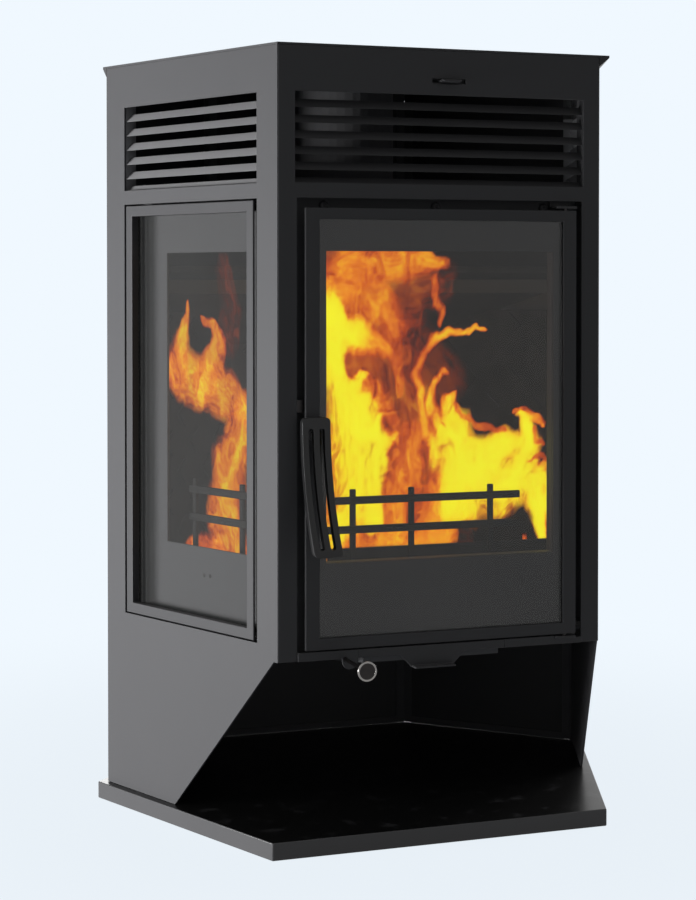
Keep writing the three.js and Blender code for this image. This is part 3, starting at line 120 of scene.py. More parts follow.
def add_node(
    tree: bpy.types.NodeTree,
    kind: str,
    inputs: dict | None = None,
    stops: Sequence[tuple[float, str]] = (),
    **settings: object,
) -> bpy.types.Node:
    """Adds a node, sets its properties and fills or links its inputs.

    Args:
        tree: the node tree that gets the node.
        kind: the node's type name.
        inputs: socket name or number to a value or to another node's output.
        stops: position and sRGB hex colour of each stop in order, for a colour ramp.
        settings: properties of the node itself.

    Returns:
        The new node.
    """
    node = tree.nodes.new(kind)
    for name, value in settings.items():
        setattr(node, name, value)
    fill(node, inputs or {})
    elements = node.color_ramp.elements if stops else []
    while len(elements) < len(stops):
        elements.new(0.5)
    for element, (position, colour) in zip(elements, stops):
        element.position = position
        element.color = linear(colour)
    return node


def fill(node: bpy.types.Node, inputs: dict) -> None:
    """Sets each named or numbered input to a value, or links it to another node's output.

    Args:
        node: the node that gets them.
        inputs: socket name or number to a value or to another node's output.
    """
    for key, value in inputs.items():
        if isinstance(value, bpy.types.NodeSocket):
            node.id_data.links.new(value, node.inputs[key])
        else:
            node.inputs[key].default_value = value


def new_material(name: str) -> tuple[bpy.types.Material, bpy.types.NodeTree, bpy.types.Node]:
    """Makes a material with a bare Principled shader.

    Args:
        name: the material's name.

    Returns:
        The material, its node tree and its Principled node.
    """
    material = bpy.data.materials.new(name)
    material.use_nodes = True
    tree = material.node_tree
    return material, tree, tree.nodes["Principled BSDF"]


# ---------------------------------------------------------------- finishes


@dataclass(frozen=True)
class StovePaint:
    """Silicone stove paint, sprayed on sheet steel and baked: an even satin coat with a fine tooth.

    Faces that look up get a colour mixed in: a little settled dust on most paints,
    and on the base, in the recess under the fire, a painted shade that turns them nearly black.
    Its tooth is about 0.2 mm in fact and is drawn at 1.5 mm, so that it shows at all.
    """

    name: str
    colour: str
    roughness: float = 0.5
    specular: float = 0.14
    tooth: float = 1.5 * MM
    # colour mixed into faces that look up, and how much: settled dust on most paints, painted shade on
    # the base
    settled: str = "#a8a49c"
    cover: float = 0.05
    tooth_height: float = 0.03 * MM
    drift: float = 0.04

    def material(self) -> bpy.types.Material:
        """Builds the material: soft cloudy tone, uneven gloss, tooth, and a colour on faces that look
        up: dust on most paints, painted shade on the base.

        Returns:
            The finished material.
        """
        material, tree, shader = new_material(self.name)
        place = add_node(tree, "ShaderNodeTexCoord").outputs["Object"]
        cloud, grain, dust_and_shade_patches = (
            add_node(
                tree, "ShaderNodeTexNoise", {"Vector": place, "Scale": 1 / size, "Detail": detail}
            ).outputs["Fac"]
            for size, detail in ((110 * MM, 3.0), (self.tooth, 2.0), (30 * MM, 4.0))
        )
        red, green, blue, _ = linear(self.colour)
        dark, light = (
            (red * share, green * share, blue * share, 1)
            for share in (1 - self.drift, 1 + self.drift)
        )
        tone = add_node(
            tree, "ShaderNodeMix", {0: cloud, 6: dark, 7: light}, data_type="RGBA"
        ).outputs[2]
        # faces that look up take that colour in patches: dust on most paints, painted shade on the base
        normal = add_node(tree, "ShaderNodeNewGeometry").outputs["Normal"]
        up = add_node(tree, "ShaderNodeSeparateXYZ", {"Vector": normal}).outputs["Z"]
        dust_and_shade_share = add_node(
            tree,
            "ShaderNodeMapRange",
            {"Value": up, "From Min": 0.55, "From Max": 1.0, "To Min": 0.0, "To Max": self.cover},
        ).outputs["Result"]
        patchy = add_node(
            tree, "ShaderNodeMath", {0: dust_and_shade_share, 1: dust_and_shade_patches}, operation="MULTIPLY"
        ).outputs[0]
        coat = add_node(
            tree, "ShaderNodeMix", {0: patchy, 6: tone, 7: linear(self.settled)}, data_type="RGBA"
        ).outputs[2]
        gloss = add_node(
            tree,
            "ShaderNodeMapRange",
            {"Value": cloud, "To Min": self.roughness - 0.03, "To Max": self.roughness + 0.03},
        ).outputs["Result"]
        relief = add_node(
            tree, "ShaderNodeBump", {"Height": grain, "Distance": self.tooth_height, "Strength": 0.35}
        ).outputs["Normal"]
        fill(
            shader,
            {
                "Base Color": coat,
                "Roughness": gloss,
                "Normal": relief,
                "Specular IOR Level": self.specular,
            },
        )
        return material


@dataclass(frozen=True)
class CastIron:
    """Grey iron, sand cast and sooted: a dull, pitted skin with brown warmth in patches.

    Its sand pits are 1 to 3 mm across.
    """

    name: str
    colour: str = "#33302d"
    soot: str = "#151413"
    roughness: float = 0.78

    def material(self) -> bpy.types.Material:
        """Builds the material: soot in patches over iron, and sand-cast pits.

        Returns:
            The finished material.
        """
        material, tree, shader = new_material(self.name)
        place = add_node(tree, "ShaderNodeTexCoord").outputs["Object"]
        patches, pits = (
            add_node(
                tree, "ShaderNodeTexNoise", {"Vector": place, "Scale": 1 / size, "Detail": detail}
            ).outputs["Fac"]
            for size, detail in ((45 * MM, 5.0), (2.2 * MM, 4.0))
        )
        stops = [(0.35, self.soot), (0.62, self.colour), (0.9, "#453a31")]
        skin = add_node(
            tree, "ShaderNodeValToRGB", {"Fac": patches}, stops=stops
        ).outputs["Color"]
        dullness = add_node(
            tree,
            "ShaderNodeMapRange",
            {"Value": patches, "To Min": self.roughness - 0.12, "To Max": self.roughness + 0.12},
        ).outputs["Result"]
        relief = add_node(
            tree, "ShaderNodeBump", {"Height": pits, "Distance": 0.35 * MM, "Strength": 0.7}
        ).outputs["Normal"]
        fill(
            shader,
            {"Base Color": skin, "Roughness": dullness, "Normal": relief, "Metallic": 0.35},
        )
        return material


@dataclass(frozen=True)
class BlackenedSteel:
    """Turned mild steel that heat has darkened: brushed rings, brown-blue tint, low shine."""

    name: str
    colour: str = "#55524f"
    roughness: float = 0.38
    cool: str = "#3f3d3e"
    warm: str = "#66594a"

    def material(self) -> bpy.types.Material:
        """Builds the material: fine lines from the lathe and a heat tint in soft bands.

        Returns:
            The finished material.
        """
        material, tree, shader = new_material(self.name)
        place = add_node(tree, "ShaderNodeTexCoord").outputs["Object"]
        drawn_out = add_node(
            tree, "ShaderNodeMapping", {"Vector": place, "Scale": Vector((1, 6, 1))}
        ).outputs["Vector"]
        tint, lines = (
            add_node(
                tree, "ShaderNodeTexNoise", {"Vector": where, "Scale": 1 / size, "Detail": detail}
            ).outputs["Fac"]
            for where, size, detail in ((place, 12 * MM, 3.0), (drawn_out, 0.8 * MM, 2.0))
        )
        stops = [(0.3, self.cool), (0.55, self.colour), (0.8, self.warm)]
        heat_tint = add_node(
            tree, "ShaderNodeValToRGB", {"Fac": tint}, stops=stops
        ).outputs["Color"]
        gloss = add_node(
            tree,
            "ShaderNodeMapRange",
            {"Value": lines, "To Min": self.roughness - 0.1, "To Max": self.roughness + 0.12},
        ).outputs["Result"]
        relief = add_node(
            tree, "ShaderNodeBump", {"Height": lines, "Distance": 0.03 * MM, "Strength": 0.6}
        ).outputs["Normal"]
        fill(
            shader,
            {"Base Color": heat_tint, "Roughness": gloss, "Normal": relief, "Metallic": 0.85},
        )
        return material


@dataclass(frozen=True)
class CeramicGlass:
    """Clear glass ceramic, rolled and polished: faintly grey, with a smoky film that drifts across it.
    """

    name: str
    colour: str = "#3c3d3d"
    film: float = 0.25

    def material(self) -> bpy.types.Material:
        """Builds the material: a thin see-through film whose density drifts like smoke stain.

        Returns:
            The finished material.
        """
        material, tree, shader = new_material(self.name)
        place = add_node(tree, "ShaderNodeTexCoord").outputs["Object"]
        smoke = add_node(
            tree,
            "ShaderNodeTexNoise",
            {"Vector": place, "Scale": 1 / (160 * MM), "Detail": 2.0},
        ).outputs["Fac"]
        density = add_node(
            tree,
            "ShaderNodeMapRange",
            {"Value": smoke, "To Min": self.film - 0.03, "To Max": self.film + 0.03},
        ).outputs["Result"]
        tint = add_node(
            tree, "ShaderNodeValToRGB", {"Fac": smoke}, stops=[(0.3, "#343535"), (0.7, self.colour)]
        ).outputs["Color"]
        fill(
            shader,
            {
                "Alpha": density,
                "Base Color": tint,
                "Roughness": 0.06,
                "IOR": 1.53,
                "Specular IOR Level": 1.0,
            },
        )
        return material


@dataclass(frozen=True)
class GlassRope:
    """Knitted glass-fibre rope, graphite dipped: dark grey, fuzzy, with slanted 2.5 mm strands."""

    name: str
    colour: str = "#3b3936"
    strand: float = 2.5 * MM
    slant: float = 0.8
    radians_in_a_wave: float = 6.28

    def material(self) -> bpy.types.Material:
        """Builds the material: crossing strands as bands in tone and height.

        Returns:
            The finished material.
        """
        material, tree, shader = new_material(self.name)
        place = add_node(tree, "ShaderNodeTexCoord").outputs["Object"]
        bands = []
        for direction in (1.0, -1.0):
            turned = add_node(
                tree,
                "ShaderNodeMapping",
                {"Vector": place, "Rotation": Vector((0, direction * self.slant, 0))},
            ).outputs["Vector"]
            bands.append(
                add_node(
                    tree,
                    "ShaderNodeTexWave",
                    {
                        "Vector": turned,
                        "Scale": 1 / self.strand / self.radians_in_a_wave,
                        "Distortion": 1.5,
                    },
                ).outputs["Fac"]
            )
        knit = add_node(
            tree, "ShaderNodeMath", {0: bands[0], 1: bands[1]}, operation="MULTIPLY"
        ).outputs[0]
        stops = [(0.0, "#1d1b1a"), (0.6, self.colour), (1.0, "#5a5752")]
        fibre = add_node(
            tree, "ShaderNodeValToRGB", {"Fac": knit}, stops=stops
        ).outputs["Color"]
        relief = add_node(
            tree, "ShaderNodeBump", {"Height": knit, "Distance": 0.4 * MM, "Strength": 1.0}
        ).outputs["Normal"]
        fill(
            shader,
            {
                "Base Color": fibre,
                "Normal": relief,
                "Roughness": 0.95,
                "Sheen Weight": 0.2,
            },
        )
        return material


@dataclass(frozen=True)
class CharredWood:
    """Split firewood burnt black: blocky cracks, grey ash on its ridges, dull red between them."""

    name: str
    glow: float = 0.8

    def material(self) -> bpy.types.Material:
        """Builds the material: cells of char about 12 mm across over a dull red heat.

        Returns:
            The finished material.
        """
        material, tree, shader = new_material(self.name)
        place = add_node(tree, "ShaderNodeTexCoord").outputs["Object"]
        cells = add_node(
            tree,
            "ShaderNodeTexVoronoi",
            {"Vector": place, "Scale": 1 / (12 * MM), "Randomness": 0.9},
            feature="DISTANCE_TO_EDGE",
        ).outputs["Distance"]
        ash = add_node(
            tree,
            "ShaderNodeTexNoise",
            {"Vector": place, "Scale": 1 / (9 * MM), "Detail": 5.0},
        ).outputs["Fac"]
        char = [(0.35, "#0d0b0a"), (0.6, "#241d19"), (0.85, "#6f6860")]
        hot = [(0.0, "#4a1008"), (0.20, "#2a0a06"), (0.40, "#100404")]
        crust = add_node(
            tree, "ShaderNodeValToRGB", {"Fac": ash}, stops=char
        ).outputs["Color"]
        embers = add_node(
            tree, "ShaderNodeValToRGB", {"Fac": cells}, stops=hot
        ).outputs["Color"]
        cracks = add_node(
            tree, "ShaderNodeBump", {"Height": cells, "Distance": 3 * MM, "Strength": 0.9}
        ).outputs["Normal"]
        fill(
            shader,
            {
                "Base Color": crust,
                "Emission Color": embers,
                "Emission Strength": self.glow,
                "Normal": cracks,
                "Roughness": 0.9,
            },
        )
        return material


@dataclass(frozen=True)
class AshAndEmbers:
    """Wood ash over live embers: pale grey powder with orange coals showing through."""

    name: str

    def material(self) -> bpy.types.Material:
        """Builds the material: powder grain and coals 8 to 15 mm across.

        Returns:
            The finished material.
        """
        material, tree, shader = new_material(self.name)
        place = add_node(tree, "ShaderNodeTexCoord").outputs["Object"]
        coals = add_node(
            tree, "ShaderNodeTexVoronoi", {"Vector": place, "Scale": 1 / (13 * MM)}
        ).outputs["Distance"]
        drift, powder = (
            add_node(
                tree, "ShaderNodeTexNoise", {"Vector": place, "Scale": 1 / size, "Detail": detail}
            ).outputs["Fac"]
            for size, detail in ((40 * MM, 3.0), (3 * MM, 5.0))
        )
        heat = add_node(
            tree, "ShaderNodeMath", {0: coals, 1: drift}, operation="ADD"
        ).outputs[0]
        glow = [(0.4, "#ffb030"), (0.62, "#e04a08"), (0.85, "#3a0a00"), (1.0, "#000000")]
        dust = add_node(
            tree, "ShaderNodeValToRGB", {"Fac": powder}, stops=[(0.3, "#3b3632"), (0.7, "#8a847c")]
        ).outputs["Color"]
        embers = add_node(
            tree, "ShaderNodeValToRGB", {"Fac": heat}, stops=glow
        ).outputs["Color"]
        relief = add_node(
            tree, "ShaderNodeBump", {"Height": powder, "Distance": 1.5 * MM, "Strength": 1.0}
        ).outputs["Normal"]
        fill(
            shader,
            {
                "Base Color": dust,
                "Emission Color": embers,
                "Emission Strength": 1.6,
                "Normal": relief,
                "Roughness": 1.0,
            },
        )
        return material


@dataclass(frozen=True)
class FlameGlow:
    """Burning wood gas: yellow where dense, red where thin, and a dim light on what is near."""

    name: str
    strength: float = 1.0
    cast: float = 0.3

    def material(self) -> bpy.types.Material:
        """Builds the material from the sheet's flame_heat and flame_veil attributes.

        Returns:
            The finished material.
        """
        material, tree, shader = new_material(self.name)
        heat = add_node(tree, "ShaderNodeAttribute", attribute_name="flame_heat").outputs["Fac"]
        veil = add_node(tree, "ShaderNodeAttribute", attribute_name="flame_veil").outputs["Fac"]
        stops = [
            (0.0, "#4a0e02"),
            (0.16, "#a23200"),
            (0.32, "#d05600"),
            (0.48, "#f08400"),
            (0.62, "#fab000"),
            (0.78, "#fde400"),
            (1.0, "#fff812"),
        ]
        colour = add_node(
            tree, "ShaderNodeValToRGB", {"Fac": heat}, stops=stops
        ).outputs["Color"]
        bounced = add_node(tree, "ShaderNodeLightPath").outputs["Is Diffuse Ray"]
        power = add_node(
            tree,
            "ShaderNodeMapRange",
            {"Value": bounced, "To Min": self.strength, "To Max": self.strength * self.cast},
        ).outputs["Result"]
        fill(
            shader,
            {
                "Emission Color": colour,
                "Emission Strength": power,
                "Alpha": veil,
                "Base Color": linear("#000000"),
                "Specular IOR Level": 0.0,
            },
        )
        return material


CASING_PAINT = StovePaint("anthracite_stove_paint", "#575759", 0.5, 0.14)
# the side louvres' slats: the casing paint made lighter, painted light where the slats catch the lamp
LIT_LOUVRE_PAINT = StovePaint("satin_louvre_paint", "#949496", 0.42, 0.22)
DOOR_PAINT = StovePaint("black_stove_paint", "#4e4e50", 0.46, 0.16)
# the base's up-facing faces are mixed nearly black: painted shade, as its top in the recess gets no
# light
BASE_PAINT = StovePaint("sooted_base_paint", "#575759", 0.32, 0.3, settled="#070707", cover=2.4)
HANDLE_PAINT = StovePaint("satin_handle_enamel", "#232324", 0.3, 0.28)
FIREBOX_PAINT = StovePaint("matt_firebox_paint", "#6e6e70", 0.62, 0.12, tooth_height=0.008 * MM)
LINER_IRON = CastIron("sooted_cast_iron")
LATCH_STEEL = BlackenedSteel("heat_darkened_steel")
KNOB_STEEL = BlackenedSteel("oil_blacked_steel", "#2a2828", 0.3, "#242324", "#302d2b")
# the knob's rim in steel much lighter than the knob's face: a painted highlight all round the rim
RIM_HIGHLIGHT_STEEL = BlackenedSteel("polished_rim_steel", "#8c8a88", 0.22, "#7e7c7b", "#94908c")
WINDOW_GLASS = CeramicGlass("glass_ceramic")
SEAL_ROPE = GlassRope("graphite_glass_rope")
LOG_CHAR = CharredWood("charred_firewood")
ASH_BED = AshAndEmbers("ash_and_embers")
FLAME = FlameGlow("wood_flame", 1.5)


# ---------------------------------------------------------------- mesh helpers


def link(name: str, mesh: bpy.types.Mesh, material: bpy.types.Material) -> bpy.types.Object:
    """Puts a mesh in the scene as an object with one material.

    Args:
        name: the object's name.
        mesh: its mesh, already in place.
        material: its only material.

    Returns:
        The new object.
    """
    piece = bpy.data.objects.new(name, mesh)
    bpy.context.scene.collection.objects.link(piece)
    mesh.materials.clear()
    mesh.materials.append(material)
    return piece


def baked(piece: bpy.types.Object) -> bpy.types.Object:
    """Turns an object's evaluated shape into its plain mesh and drops its modifiers.

    Args:
        piece: the object, with its modifiers live.

    Returns:
        The same object.
    """
    bpy.context.view_layer.update()
    graph = bpy.context.evaluated_depsgraph_get()
    mesh = bpy.data.meshes.new_from_object(piece.evaluated_get(graph))
    piece.modifiers.clear()
    piece.data = mesh
    return piece


def mesh_from(shape: bmesh.types.BMesh, name: str) -> bpy.types.Mesh:
    """Turns a shape into a mesh of the given name and frees the shape.

    Args:
        shape: the shape, in metres.
        name: the mesh's name.

    Returns:
        The new mesh.
    """
    mesh = bpy.data.meshes.new(name)
    shape.to_mesh(mesh)
    shape.free()
    return mesh


def grid_quads(rows: int, columns: int) -> np.ndarray:
    """Gives the corner numbers of each cell of a grid of points, counted row by row."""
    index = np.arange(rows * columns).reshape(rows, columns)
    return np.stack([index[:-1, :-1], index[:-1, 1:], index[1:, 1:], index[1:, :-1]], axis=-1)


def wall_matrix(side: Side) -> Matrix:
    """Gives the matrix from a side wall's axes to the stove's.

    Args:
        side: which side wall.

    Returns:
        A matrix whose X runs along the wall from the front, Y is the wall's inward
        normal and Z is up, from the wall's front corner on the floor.
    """
    sign = side.value
    along = Vector((sign * math.sin(FLARE), math.cos(FLARE), 0))
    inward = Vector((-sign * math.cos(FLARE), math.sin(FLARE), 0))
    matrix = Matrix.Identity(4)
    matrix.col[0][:3] = along
    matrix.col[1][:3] = inward
    matrix.col[2][:3] = Vector((0, 0, 1))
    matrix.col[3][:3] = Vector((sign * FRONT_HALF, FRONT_FACE_Y, 0))
    return matrix


@dataclass
class Stove:
    """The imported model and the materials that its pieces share."""

    frame: dict
    materials: dict[str, bpy.types.Material] = field(default_factory=dict)
    crease: float = math.radians(25)
    seam: float = math.radians(0.1)
    level_with: float = math.cos(math.radians(0.5))

    def material(self, finish: object) -> bpy.types.Material:
        """Builds a finish's material once and returns it each time.

        Args:
            finish: the finish.

        Returns:
            The material, the same one each time.
        """
        if finish.name not in self.materials:
            self.materials[finish.name] = finish.material()
        return self.materials[finish.name]

    def paint_node(self, node: str, finish: object) -> None:
        """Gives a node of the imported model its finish."""
        self.frame["nodes"][node].material_slots[0].material = self.material(finish)

    def soften(
        self, node: str, finish: object, slot: str, body: Body, width: float, segments: int = 3
    ) -> bpy.types.Object:
        """Replaces a node by a copy whose sharp edges are rounded as folded sheet is.

        Args:
            node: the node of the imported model.
            finish: the copy's finish.
            slot: the record's material slot.
            body: the body it rides on.
            width: how far the rounding reaches from each edge, in metres.
            segments: the number of facets across the rounding.

        Returns:
            The rounded copy.
        """
        mesh = self.frame["nodes"][node].data.copy()
        shape = bmesh.new()
        shape.from_mesh(mesh)
        bmesh.ops.remove_doubles(shape, verts=shape.verts, dist=1e-6)
        bmesh.ops.dissolve_limit(
            shape, angle_limit=math.radians(0.6), verts=shape.verts, edges=shape.edges
        )
        plain = [
            face.normal.copy()
            for face in shape.faces
            if all(
                not self.seam < edge.calc_face_angle(math.pi) < self.crease for edge in face.edges
            )
        ]
        shape.to_mesh(mesh)
        shape.free()
        piece = link(f"{node}_rounded", mesh, self.material(finish))
        rounding = piece.modifiers.new("rounding", "BEVEL")
        rounding.width = width
        rounding.segments = segments
        rounding.limit_method = "ANGLE"
        rounding.angle_limit = self.crease
        rounding.use_clamp_overlap = True
        baked(piece)
        for polygon in piece.data.polygons:
            polygon.use_smooth = all(polygon.normal.dot(n) < self.level_with for n in plain)
        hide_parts(node)
        return self.settle(piece, body, slot)

    def add(
        self, name: str, mesh: bpy.types.Mesh, finish: object, body: Body, slot: str
    ) -> bpy.types.Object:
        """Adds a piece of the scene's own, painted and settled on its body."""
        return self.settle(link(name, mesh, self.material(finish)), body, slot)

    def settle(self, piece: bpy.types.Object, body: Body, slot: str) -> bpy.types.Object:
        """Makes a finished piece ride on its body and reports it.

        Args:
            piece: the finished piece.
            body: the body it rides on.
            slot: its material slot's name; not used.

        Returns:
            The same piece.
        """
        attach(piece, body.value)
        LOG.info("%s: %d faces on %s", piece.name, len(piece.data.polygons), body.value)
        return piece


# ---------------------------------------------------------------- fasteners


@dataclass
class ScrewSet:
    """Pan-head screws set at given points by Geometry Nodes, every head turned its own way."""

    head_radius: float = 4.2 * MM
    head_height: float = 2.4 * MM
    seed: int = 4
    steps: int = 16
    crown: tuple[tuple[float, float], ...] = (
        (1.0, 0.0), (1.0, 0.28), (0.93, 0.55), (0.72, 0.85), (0.36, 1.0), (0.3, 0.62),
    )

    def head(self) -> bpy.types.Object:
        """Builds one head, its flat back on the origin and its crown along +Z.

        Returns:
            The head, not yet in the scene.
        """
        shape = bmesh.new()
        angles = [2 * math.pi * i / self.steps for i in range(self.steps)]
        layers = []
        for share, height in self.crown:
            radius = self.head_radius * share
            layers.append(
                [
                    shape.verts.new(
                        (radius * math.cos(a), radius * math.sin(a), self.head_height * height)
                    )
                    for a in angles
                ]
            )
        for low, high in zip(layers, layers[1:]):
            for i in range(self.steps):
                j = (i + 1) % self.steps
                shape.faces.new((low[i], low[j], high[j], high[i]))
        shape.faces.new(layers[0][::-1])
        shape.faces.new(layers[-1])
        mesh = mesh_from(shape, "screw_head")
        mesh.shade_smooth()
        return bpy.data.objects.new("screw_head", mesh)

    def build(
        self, name: str, points: list[Vector], normals: list[Vector], material: bpy.types.Material
    ) -> bpy.types.Object:
        """Sets a head at each point along its normal.

        Args:
            name: the piece's name.
            points: where the heads sit.
            normals: the outward direction at each point.
            material: the heads' material.

        Returns:
            One plain mesh object with all the heads.
        """
        mesh = bpy.data.meshes.new(name)
        mesh.from_pydata([tuple(p) for p in points], [], [])
        outward = mesh.attributes.new("outward", "FLOAT_VECTOR", "POINT")
        for i, normal in enumerate(normals):
            outward.data[i].vector = normal
        piece = link(name, mesh, material)
        head = self.head()
        tree = bpy.data.node_groups.new("set_screws", "GeometryNodeTree")
        tree.interface.new_socket("Geometry", in_out="INPUT", socket_type="NodeSocketGeometry")
        seed = tree.interface.new_socket("Seed", in_out="INPUT", socket_type="NodeSocketInt")
        tree.interface.new_socket("Geometry", in_out="OUTPUT", socket_type="NodeSocketGeometry")
        source = add_node(tree, "NodeGroupInput")
        normal = add_node(
            tree, "GeometryNodeInputNamedAttribute", {"Name": "outward"}, data_type="FLOAT_VECTOR"
        )
        facing = add_node(
            tree, "FunctionNodeAlignRotationToVector", {"Vector": normal.outputs[0]}, axis="Z"
        )
        spin = add_node(
            tree,
            "FunctionNodeRandomValue",
            {2: 0.0, 3: math.tau, "Seed": source.outputs["Seed"]},
            data_type="FLOAT",
        )
        turn = add_node(
            tree,
            "FunctionNodeRotateRotation",
            {
                "Rotation": facing.outputs[0],
                "Rotate By": add_node(
                    tree,
                    "FunctionNodeAxisAngleToRotation",
                    {"Axis": Vector((0, 0, 1)), "Angle": spin.outputs[1]},
                ).outputs[0],
            },
            rotation_space="LOCAL",
        )
        info = add_node(tree, "GeometryNodeObjectInfo", {"Object": head})
        set_heads = add_node(
            tree,
            "GeometryNodeInstanceOnPoints",
            {
                "Points": source.outputs["Geometry"],
                "Instance": info.outputs["Geometry"],
                "Rotation": turn.outputs[0],
            },
        )
        real = add_node(
            tree, "GeometryNodeRealizeInstances", {"Geometry": set_heads.outputs["Instances"]}
        )
        dressed = add_node(
            tree,
            "GeometryNodeSetMaterial",
            {"Geometry": real.outputs["Geometry"], "Material": material},
        )
        add_node(tree, "NodeGroupOutput", {"Geometry": dressed.outputs["Geometry"]})
        modifier = piece.modifiers.new("screws", "NODES")
        modifier.node_group = tree
        modifier[seed.identifier] = self.seed
        baked(piece)
        bpy.data.objects.remove(head)
        return piece


# ---------------------------------------------------------------- casing


@dataclass
class Casing:
    """Folded sheet around the firebox: base, panels, cap and louvres."""

    stove: Stove
    fold: float = 1.3 * MM
    base_fold: float = 3.2 * MM
    screw_inset: float = 14 * MM
    screw_shares: tuple[float, ...] = (0.03, 0.27, 0.5, 0.73, 0.97)
    angle_gap: float = 3.6 * MM
    angle_sheet: float = 1.5 * MM
    angle_leg: float = 14 * MM
    foot_height: float = 10 * MM
    foot_lift: float = 0.5 * MM
    front_angle_levels: tuple[tuple[float, float], ...] = ((0.300, 1.030),)
    angle_levels: tuple[tuple[float, float], ...] = ((0.0245, 0.2655), (0.271, 1.030))

    def build(self) -> None:
        """Rounds the sheets, backs their seams, paints the louvres and sets the screws."""
        stove = self.stove
        sheets = (
            "front_panel",
            "left_side_panel",
            "right_side_panel",
            "left_rear_panel",
            "right_rear_panel",
            "back_panel",
            "top_cap",
        )
        for node in sheets:
            stove.soften(node, CASING_PAINT, "casing_paint", Body.STOVE, self.fold)
        stove.soften("base_plate", BASE_PAINT, "casing_paint", Body.STOVE, self.base_fold, 5)
        # the side louvres take the lighter paint, whose colour is painted light on their slats
        louvres = {
            "front_louvre": CASING_PAINT,
            "left_side_louvre": LIT_LOUVRE_PAINT,
            "right_side_louvre": LIT_LOUVRE_PAINT,
        }
        for node, paint in louvres.items():
            stove.soften(node, paint, "casing_paint", Body.STOVE, 0.6 * MM, 2)
        self.corner_angles()
        self.foot_angles()
        self.back_screws()

    def corner_angles(self) -> None:
        """Backs the six upright seams with folded angles, which stop light and draught."""
        _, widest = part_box("right_side_panel")
        _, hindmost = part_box("back_panel")
        quarter = math.pi / 2
        seams = (
            ((FRONT_HALF, FRONT_FACE_Y), (math.pi, quarter - FLARE), self.front_angle_levels),
            ((widest.x, widest.y), (-quarter - FLARE, quarter + REAR_SLANT), self.angle_levels),
            ((hindmost.x, hindmost.y), (REAR_SLANT - quarter, math.pi), self.angle_levels),
        )
        shape = bmesh.new()
        for side in Side:
            for corner, headings, spans in seams:
                for levels in spans:
                    self.angle(shape, side, corner, headings, levels)
        bmesh.ops.recalc_face_normals(shape, faces=shape.faces)
        mesh = mesh_from(shape, "corner_angles")
        self.stove.add("corner_angles", mesh, FIREBOX_PAINT, Body.STOVE, "casing_paint")

    def angle(
        self,
        shape: bmesh.types.BMesh,
        side: Side,
        corner: tuple[float, float],
        headings: tuple[float, float],
        levels: tuple[float, float],
    ) -> None:
        """Adds one folded angle inside a corner of the plan.

        Args:
            shape: the mesh that gets it.
            side: right as given, left mirrored.
            corner: the outer corner on the right.
            headings: the directions of the two walls away from it, in radians.
            levels: its foot and top.
        """
        legs = [Vector((math.cos(h), math.sin(h))) for h in headings]
        inward = [
            Vector((-legs[0].y, legs[0].x)) * (1 if legs[0].cross(legs[1]) > 0 else -1),
            Vector((-legs[1].y, legs[1].x)) * (1 if legs[1].cross(legs[0]) > 0 else -1),
        ]
        middle = (inward[0] + inward[1]) / (1 + inward[0].dot(inward[1]))
        near = Vector(corner) + middle * self.angle_gap
        far = near + middle * self.angle_sheet
        outline = [
            near,
            near + legs[0] * self.angle_leg,
            near + legs[0] * self.angle_leg + inward[0] * self.angle_sheet,
            far,
            near + legs[1] * self.angle_leg + inward[1] * self.angle_sheet,
            near + legs[1] * self.angle_leg,
        ]
        rings = [
            [shape.verts.new((side.value * p.x, p.y, level)) for p in outline] for level in levels
        ]
        count = len(outline)
        for i in range(count):
            j = (i + 1) % count
            shape.faces.new((rings[0][i], rings[0][j], rings[1][j], rings[1][i]))
        for ring in rings:
            shape.faces.new((ring[0], ring[1], ring[2], ring[3]))
            shape.faces.new((ring[0], ring[3], ring[4], ring[5]))

    def foot_angles(self) -> None:
        """Closes the slot under the three rear walls with strips that stand on the base."""
        _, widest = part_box("right_side_panel")
        _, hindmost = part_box("back_panel")
        _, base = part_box("base_plate")
        foot = base.z + self.foot_lift
        side, rear = Vector((widest.x, widest.y)), Vector((hindmost.x, hindmost.y))
        walls = (
            (side, rear),
            (rear, Vector((-rear.x, rear.y))),
            (Vector((-rear.x, rear.y)), Vector((-side.x, side.y))),
        )
        shape = bmesh.new()
        for start, end in walls:
            along = (end - start).normalized()
            inward = Vector((-along.y, along.x))
            near = (start + end) / 2 + inward * (self.angle_gap + self.angle_sheet / 2)
            strip = bmesh.ops.create_cube(shape, size=1.0)["verts"]
            size = (
                (end - start).length - 2 * self.angle_leg,
                self.angle_sheet,
                self.foot_height,
            )
            turn = Matrix.Rotation(math.atan2(along.y, along.x), 4, "Z")
            middle = Matrix.Translation((near.x, near.y, foot + self.foot_height / 2))
            place = middle @ turn @ Matrix.Diagonal((*size, 1))
            bmesh.ops.transform(shape, matrix=place, verts=strip)
        bmesh.ops.recalc_face_normals(shape, faces=shape.faces)
        mesh = mesh_from(shape, "foot_angles")
        self.stove.add("foot_angles", mesh, FIREBOX_PAINT, Body.STOVE, "casing_paint")

    def back_screws(self) -> None:
        """Sets a column of screws down each edge of the back panel."""
        low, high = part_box("back_panel")
        points, normals = [], []
        for x in (low.x + self.screw_inset, high.x - self.screw_inset):
            for share in self.screw_shares:
                points.append(Vector((x, high.y, low.z + (high.z - low.z) * share)))
                normals.append(Vector((0, 1, 0)))
        piece = ScrewSet().build(
            "back_panel_screws", points, normals, self.stove.material(LATCH_STEEL)
        )
        self.stove.settle(piece, Body.STOVE, "bare_steel")


# ---------------------------------------------------------------- door and windows


